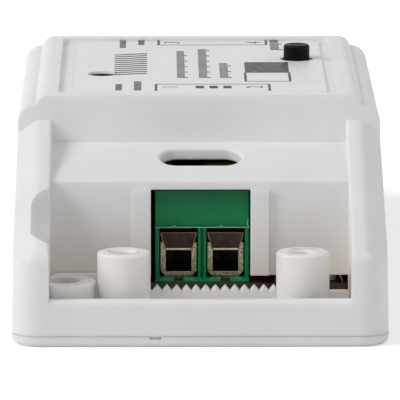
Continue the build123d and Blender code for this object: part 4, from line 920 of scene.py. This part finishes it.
class RELAY_OT_terminals(bpy.types.Operator):
    """Finishes both screw terminals, their cages, screws and current bars"""

    bl_idname = "relay.terminals"
    bl_label = "Screw terminals"

    def execute(self, context):
        tints = context.scene.relay_finishes
        green = moulded(
            "terminal_plastic", tints.terminal, rough=(0.3, 0.44), grain=0.1 * MM, spots=0.08
        )
        green.set(Specular_IOR_Level=0.2)
        # Painted shade towards the top, as under the window's upper edge
        green.paint_shade_above(*GREEN_SHADE_ABOVE)
        # Painted shade far inside the chambers, on the green, the cages, the bars and the screws
        green.paint_shade_inside(*GREEN_SHADE_INSIDE)
        cage = plated_steel("clamp_cage_steel", tints.cage, grain=0.2 * MM, dark=0.22)
        cage.paint_shade_inside(*CAGE_SHADE_INSIDE)
        # A lighter copy of the cage's steel, for the painted highlights along the lips
        edge_highlight = plated_steel("sheared_edge_steel", shade(tints.cage, 1.2), (0.3, 0.5))
        # The bar's edges take the cage's tint as a painted highlight
        bar = drawn_metal("current_bar_metal", tints.bar, (0.34, 0.5), 0, tints.cage)
        bar.paint_shade_inside(*BAR_SHADE_INSIDE)
        screw = drawn_metal("clamp_screw_zinc", tints.screw, (0.25, 0.4))
        screw.paint_shade_inside(*SCREW_SHADE_INSIDE)
        # Paler green of the flash: a painted highlight along the seam ridge
        flash = moulded("terminal_flash", tints.flash, rough=(0.3, 0.5), spots=0.3)
        rise = context.scene.relay_sizes.flash_rise
        for end, facing in (("input", 1), ("output", -1)):
            dress(green, f"{end}_terminal_housing")
            self.flash(end, facing, flash, rise)
            for pole in POLES:
                dress(cage, f"{end}_{pole}_clamp_cage")
                dress(bar, f"{end}_{pole}_contact_bar")
                dress(screw, f"{end}_{pole}_clamp_screw")
                self.lip_highlight(end, pole, facing, edge_highlight)
        return {"FINISHED"}

    def flash(self, end, facing, pale, rise):
        """The fine ridge that the mould leaves along the terminal's front, with its nubs, in a
        paler green that is a painted highlight.
        """
        low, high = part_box(f"{end}_terminal_housing")
        front = low[1] if facing > 0 else high[1]
        middle = (low[0] + high[0]) / 2
        half = (high[0] - low[0]) / 2
        seam = SEAM_HEIGHT * MM
        step = 2 * half / RIDGE_STEPS
        work = bmesh.new()
        for number in range(RIDGE_STEPS):
            reach = (0.6 + 0.4 * math.sin(number * 1.7) * math.cos(number * 0.6)) * rise
            start = middle - half + number * step
            add_bar(
                work,
                (start, start + step),
                sorted((front - facing * reach, front + facing * RIDGE_ROOT * MM)),
                (seam - rise * RIDGE_BELOW, seam + rise * RIDGE_ABOVE),
            )
        for offset in NUB_OFFSETS:
            self.nub(work, middle + facing * offset * MM, front, facing, seam)
        piece(f"{end}_terminal_flash", work, pale)
        curl = []
        for aside, above in CURL_PLACES:
            x = middle + facing * (half - aside * MM)
            curl.append((x, front - facing * CURL_PROUD * MM, seam + above * MM))
        name = f"{end}_terminal_flash_curl"
        add_tube(name, curl, CURL_DIAMETER * MM, pale)

    def nub(self, work, x, front, facing, seam):
        """A small arch of flash over a pole, left by the gate."""
        arch = []
        for number in range(NUB_STEPS + 1):
            turn = math.pi * number / NUB_STEPS
            radius = NUB_RADIUS * MM
            arch.append((x + radius * math.cos(turn), seam + radius * math.sin(turn)))
        drop = NUB_DROP * MM
        for here, after in zip(arch, arch[1:]):
            outline = (here, after, (after[0], after[1] - drop), (here[0], here[1] - drop))
            outer, inner = [
                [work.verts.new((x, front + facing * reach * MM, z)) for x, z in outline]
                for reach in NUB_REACH
            ]
            work.faces.new(outer)
            work.faces.new(list(reversed(inner)))
            for number in range(4):
                before = number - 1
                corners = (outer[number], outer[before], inner[before], inner[number])
                work.faces.new(corners)

    def lip_highlight(self, end, pole, facing, edge_highlight):
        """Painted highlights along a current bar's lip: its foot and its two slanting sides, in a
        lighter copy of the cage's steel.
        """
        low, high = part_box(f"{end}_{pole}_contact_bar")
        middle = (low[0] + high[0]) / 2
        top_y = facing * (low[1] if facing > 0 else high[1])
        foot_y, foot_z, top_z = top_y + LIP_REACH * MM, LIP_FOOT_HEIGHT * MM, high[2]
        for side, word in ((-1, "left"), (1, "right")):
            places = []
            for share in (0.05, 0.35, 0.65, 0.95):
                half = LIP_FOOT_HALF + (LIP_TOP_HALF - LIP_FOOT_HALF) * share
                y = facing * (foot_y + (top_y - foot_y) * share - LIP_PROUD * MM)
                places.append((middle + side * half * MM, y, foot_z + (top_z - foot_z) * share))
            name = f"{end}_{pole}_lip_side_{word}"
            add_tube(name, places, LIP_SIDE_DIAMETER * MM, edge_highlight)
        y, z = facing * (foot_y - LIP_PROUD * MM), foot_z + FOOT_RISE * MM
        foot = [
            (middle + share * FOOT_HALF * MM, y, z) for share in (-1.0, -0.5, 0.0, 0.5, 1.0)
        ]
        add_tube(f"{end}_{pole}_lip_foot", foot, FOOT_DIAMETER * MM, edge_highlight)


# Button and lamp

HOLE_SHADE_SIDES = 48


class RELAY_OT_controls(bpy.types.Operator):
    """Finishes the push button, its switch and the status lamp"""

    bl_idname = "relay.controls"
    bl_label = "Button and status lamp"

    def execute(self, context):
        tints = context.scene.relay_finishes
        black = moulded("button_plastic", tints.button, rough=(0.42, 0.56), spots=0.1)
        black.set(Specular_IOR_Level=0.1)
        dress(black, "button_stem")
        dress(moulded("switch_plastic", srgb(30, 30, 31), rough=(0.45, 0.6)), "switch_base")
        dress(drawn_metal("switch_sheet", srgb(198, 198, 194), axis=0), "switch_frame")
        dress(drawn_metal("snap_dome_steel", srgb(206, 200, 188)), "switch_dome")
        dress(clear_lens(), "status_lamp")
        dress(moulded("spacer_plastic", srgb(222, 220, 214), glow=0.2), "lamp_spacer")
        dress(drawn_metal("lamp_leg_tin", srgb(200, 200, 198)), "lamp_legs")
        # A dark lining in the lamp's hole: painted shade
        self.sleeve(context.scene.relay_sizes)
        return {"FINISHED"}

    def sleeve(self, sizes):
        """Painted shade in the lamp's hole: a thin dark sleeve that lines its wall."""
        low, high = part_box("status_lamp")
        middle = Vector(((low[0] + high[0]) / 2, (low[1] + high[1]) / 2))
        bottom, top = high[2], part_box("label")[0][2]
        outer = sizes.hole_shade_diameter / 2
        inner = outer - sizes.hole_shade_wall
        work = bmesh.new()
        rings = []
        for radius, height in ((outer, bottom), (outer, top), (inner, top), (inner, bottom)):
            ring = []
            for number in range(HOLE_SHADE_SIDES):
                turn = 2 * math.pi * number / HOLE_SHADE_SIDES
                place = middle + radius * Vector((math.cos(turn), math.sin(turn)))
                ring.append(work.verts.new((*place, height)))
            rings.append(ring)
        for ring, following in zip(rings, rings[1:] + rings[:1]):
            for number in range(HOLE_SHADE_SIDES):
                after = (number + 1) % HOLE_SHADE_SIDES
                corners = (ring[number], ring[after], following[after], following[number])
                work.faces.new(corners)
        black = moulded("lamp_sleeve_plastic", srgb(58, 58, 60), rough=(0.5, 0.64), spots=0.1)
        piece("lamp_sleeve", work, black)


# Board

# The clipped lead in millimetres: where it leaves the board, and its bends from there
LEAD_ACROSS = 15.25
LEAD_SET_BACK = 1.0
LEAD_BENDS = ((0, 0, -0.1), (-0.08, 0, 0.25), (-0.34, 0.1, 0.75), (-0.42, 0.2, 1.1))


class RELAY_OT_board(bpy.types.Operator):
    """Finishes the circuit board and adds the clipped lead that shows beside the terminal"""

    bl_idname = "relay.board"
    bl_label = "Circuit board"

    def execute(self, context):
        dress(paper_laminate(), "circuit_board")
        low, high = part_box("circuit_board")
        root = Vector((LEAD_ACROSS * MM, low[1] + LEAD_SET_BACK * MM, high[2]))
        lead = [root + Vector(bend) * MM for bend in LEAD_BENDS]
        tin = drawn_metal("clipped_lead_tin", srgb(214, 180, 120))
        diameter = context.scene.relay_sizes.lead_diameter
        add_tube("clipped_lead", lead, diameter, tin)
        return {"FINISHED"}


# Relay


class RELAY_OT_relay(bpy.types.Operator):
    """Finishes the relay: its case, iron parts, coil and contacts"""

    bl_idname = "relay.relay"
    bl_label = "Relay"

    def execute(self, context):
        case = moulded("relay_case_plastic", srgb(38, 74, 128), rough=(0.26, 0.4), spots=0.06)
        dress(case, "relay_case", "relay_base")
        dress(moulded("bobbin_plastic", srgb(214, 208, 190), glow=0.1), "relay_bobbin")
        iron = drawn_metal("relay_iron", srgb(168, 166, 160))
        dress(iron, "relay_yoke", "relay_core", "relay_armature")
        dress(wound_wire("relay_coil_wire", srgb(186, 92, 48), 0.12 * MM, "Z"), "relay_coil")
        copper = drawn_metal("contact_copper", srgb(204, 138, 92))
        dress(copper, "moving_contact", "open_contact", "closed_contact", "relay_pins")
        return {"FINISHED"}


# Power supply


class RELAY_OT_power(bpy.types.Operator):
    """Finishes the power supply's parts on the board"""

    bl_idname = "relay.power"
    bl_label = "Power supply"

    def execute(self, context):
        sleeve = moulded("capacitor_sleeve", srgb(28, 34, 60), rough=(0.24, 0.36))
        dress(sleeve, "large_capacitor", "small_capacitor")
        dress(moulded("film_capacitor_box", srgb(196, 168, 52)), "film_capacitor")
        chip = moulded("chip_plastic", srgb(30, 30, 32), rough=(0.5, 0.66))
        dress(chip, "bridge_rectifier", "power_chip")
        dress(moulded("resistor_body", srgb(96, 132, 122), rough=(0.3, 0.45)), "fuse_resistor")
        dress(moulded("varistor_body", srgb(36, 84, 140), rough=(0.3, 0.42)), "varistor")
        ferrite = moulded("ferrite", srgb(52, 52, 54), rough=(0.5, 0.7), grain=0.2 * MM)
        dress(ferrite, "transformer_core")
        dress(moulded("bobbin_black", srgb(36, 34, 34)), "transformer_bobbin")
        dress(wound_wire("winding_tape", srgb(206, 172, 60), 1.2 * MM, "Z"), "transformer_winding")
        return {"FINISHED"}


# Radio


class RELAY_OT_radio(bpy.types.Operator):
    """Finishes the radio board, its header and its shield can"""

    bl_idname = "relay.radio"
    bl_label = "Radio board"

    def execute(self, context):
        dress(moulded("radio_laminate", srgb(22, 62, 44), rough=(0.3, 0.45)), "radio_board")
        dress(moulded("header_plastic", srgb(28, 28, 28)), "radio_header")
        dress(plated_steel("shield_tin", srgb(206, 206, 202), (0.22, 0.36)), "radio_shield")
        return {"FINISHED"}


OPERATORS = (
    RELAY_OT_stage,
    RELAY_OT_shells,
    RELAY_OT_label,
    RELAY_OT_terminals,
    RELAY_OT_controls,
    RELAY_OT_board,
    RELAY_OT_relay,
    RELAY_OT_power,
    RELAY_OT_radio,
)


class RELAY_PT_module(bpy.types.Panel):
    """The steps that dress the relay module, in their order"""

    bl_label = "Relay module"
    bl_idname = "RELAY_PT_module"
    bl_space_type = "VIEW_3D"
    bl_region_type = "UI"
    bl_category = "Relay module"

    def draw(self, context):
        for operator in OPERATORS:
            self.layout.operator(operator.bl_idname)
        for group in (
            context.scene.relay_finishes,
            context.scene.relay_sizes,
            context.scene.relay_stage,
        ):
            box = self.layout.box()
            for name in group.__annotations__:
                box.prop(group, name)


GROUPS = (RelayFinishes, RelaySizes, RelayStage)


def register():
    for group in GROUPS + OPERATORS + (RELAY_PT_module,):
        bpy.utils.register_class(group)
    bpy.types.Scene.relay_finishes = PointerProperty(type=RelayFinishes)
    bpy.types.Scene.relay_sizes = PointerProperty(type=RelaySizes)
    bpy.types.Scene.relay_stage = PointerProperty(type=RelayStage)


def unregister():
    del bpy.types.Scene.relay_stage
    del bpy.types.Scene.relay_sizes
    del bpy.types.Scene.relay_finishes
    for group in reversed(GROUPS + OPERATORS + (RELAY_PT_module,)):
        bpy.utils.unregister_class(group)


def main():
    register()
    for operator in OPERATORS:
        package, name = operator.bl_idname.split(".")
        getattr(getattr(bpy.ops, package), name)()
    bpy.context.view_layer.update()


if __name__ == "__main__":
    main()
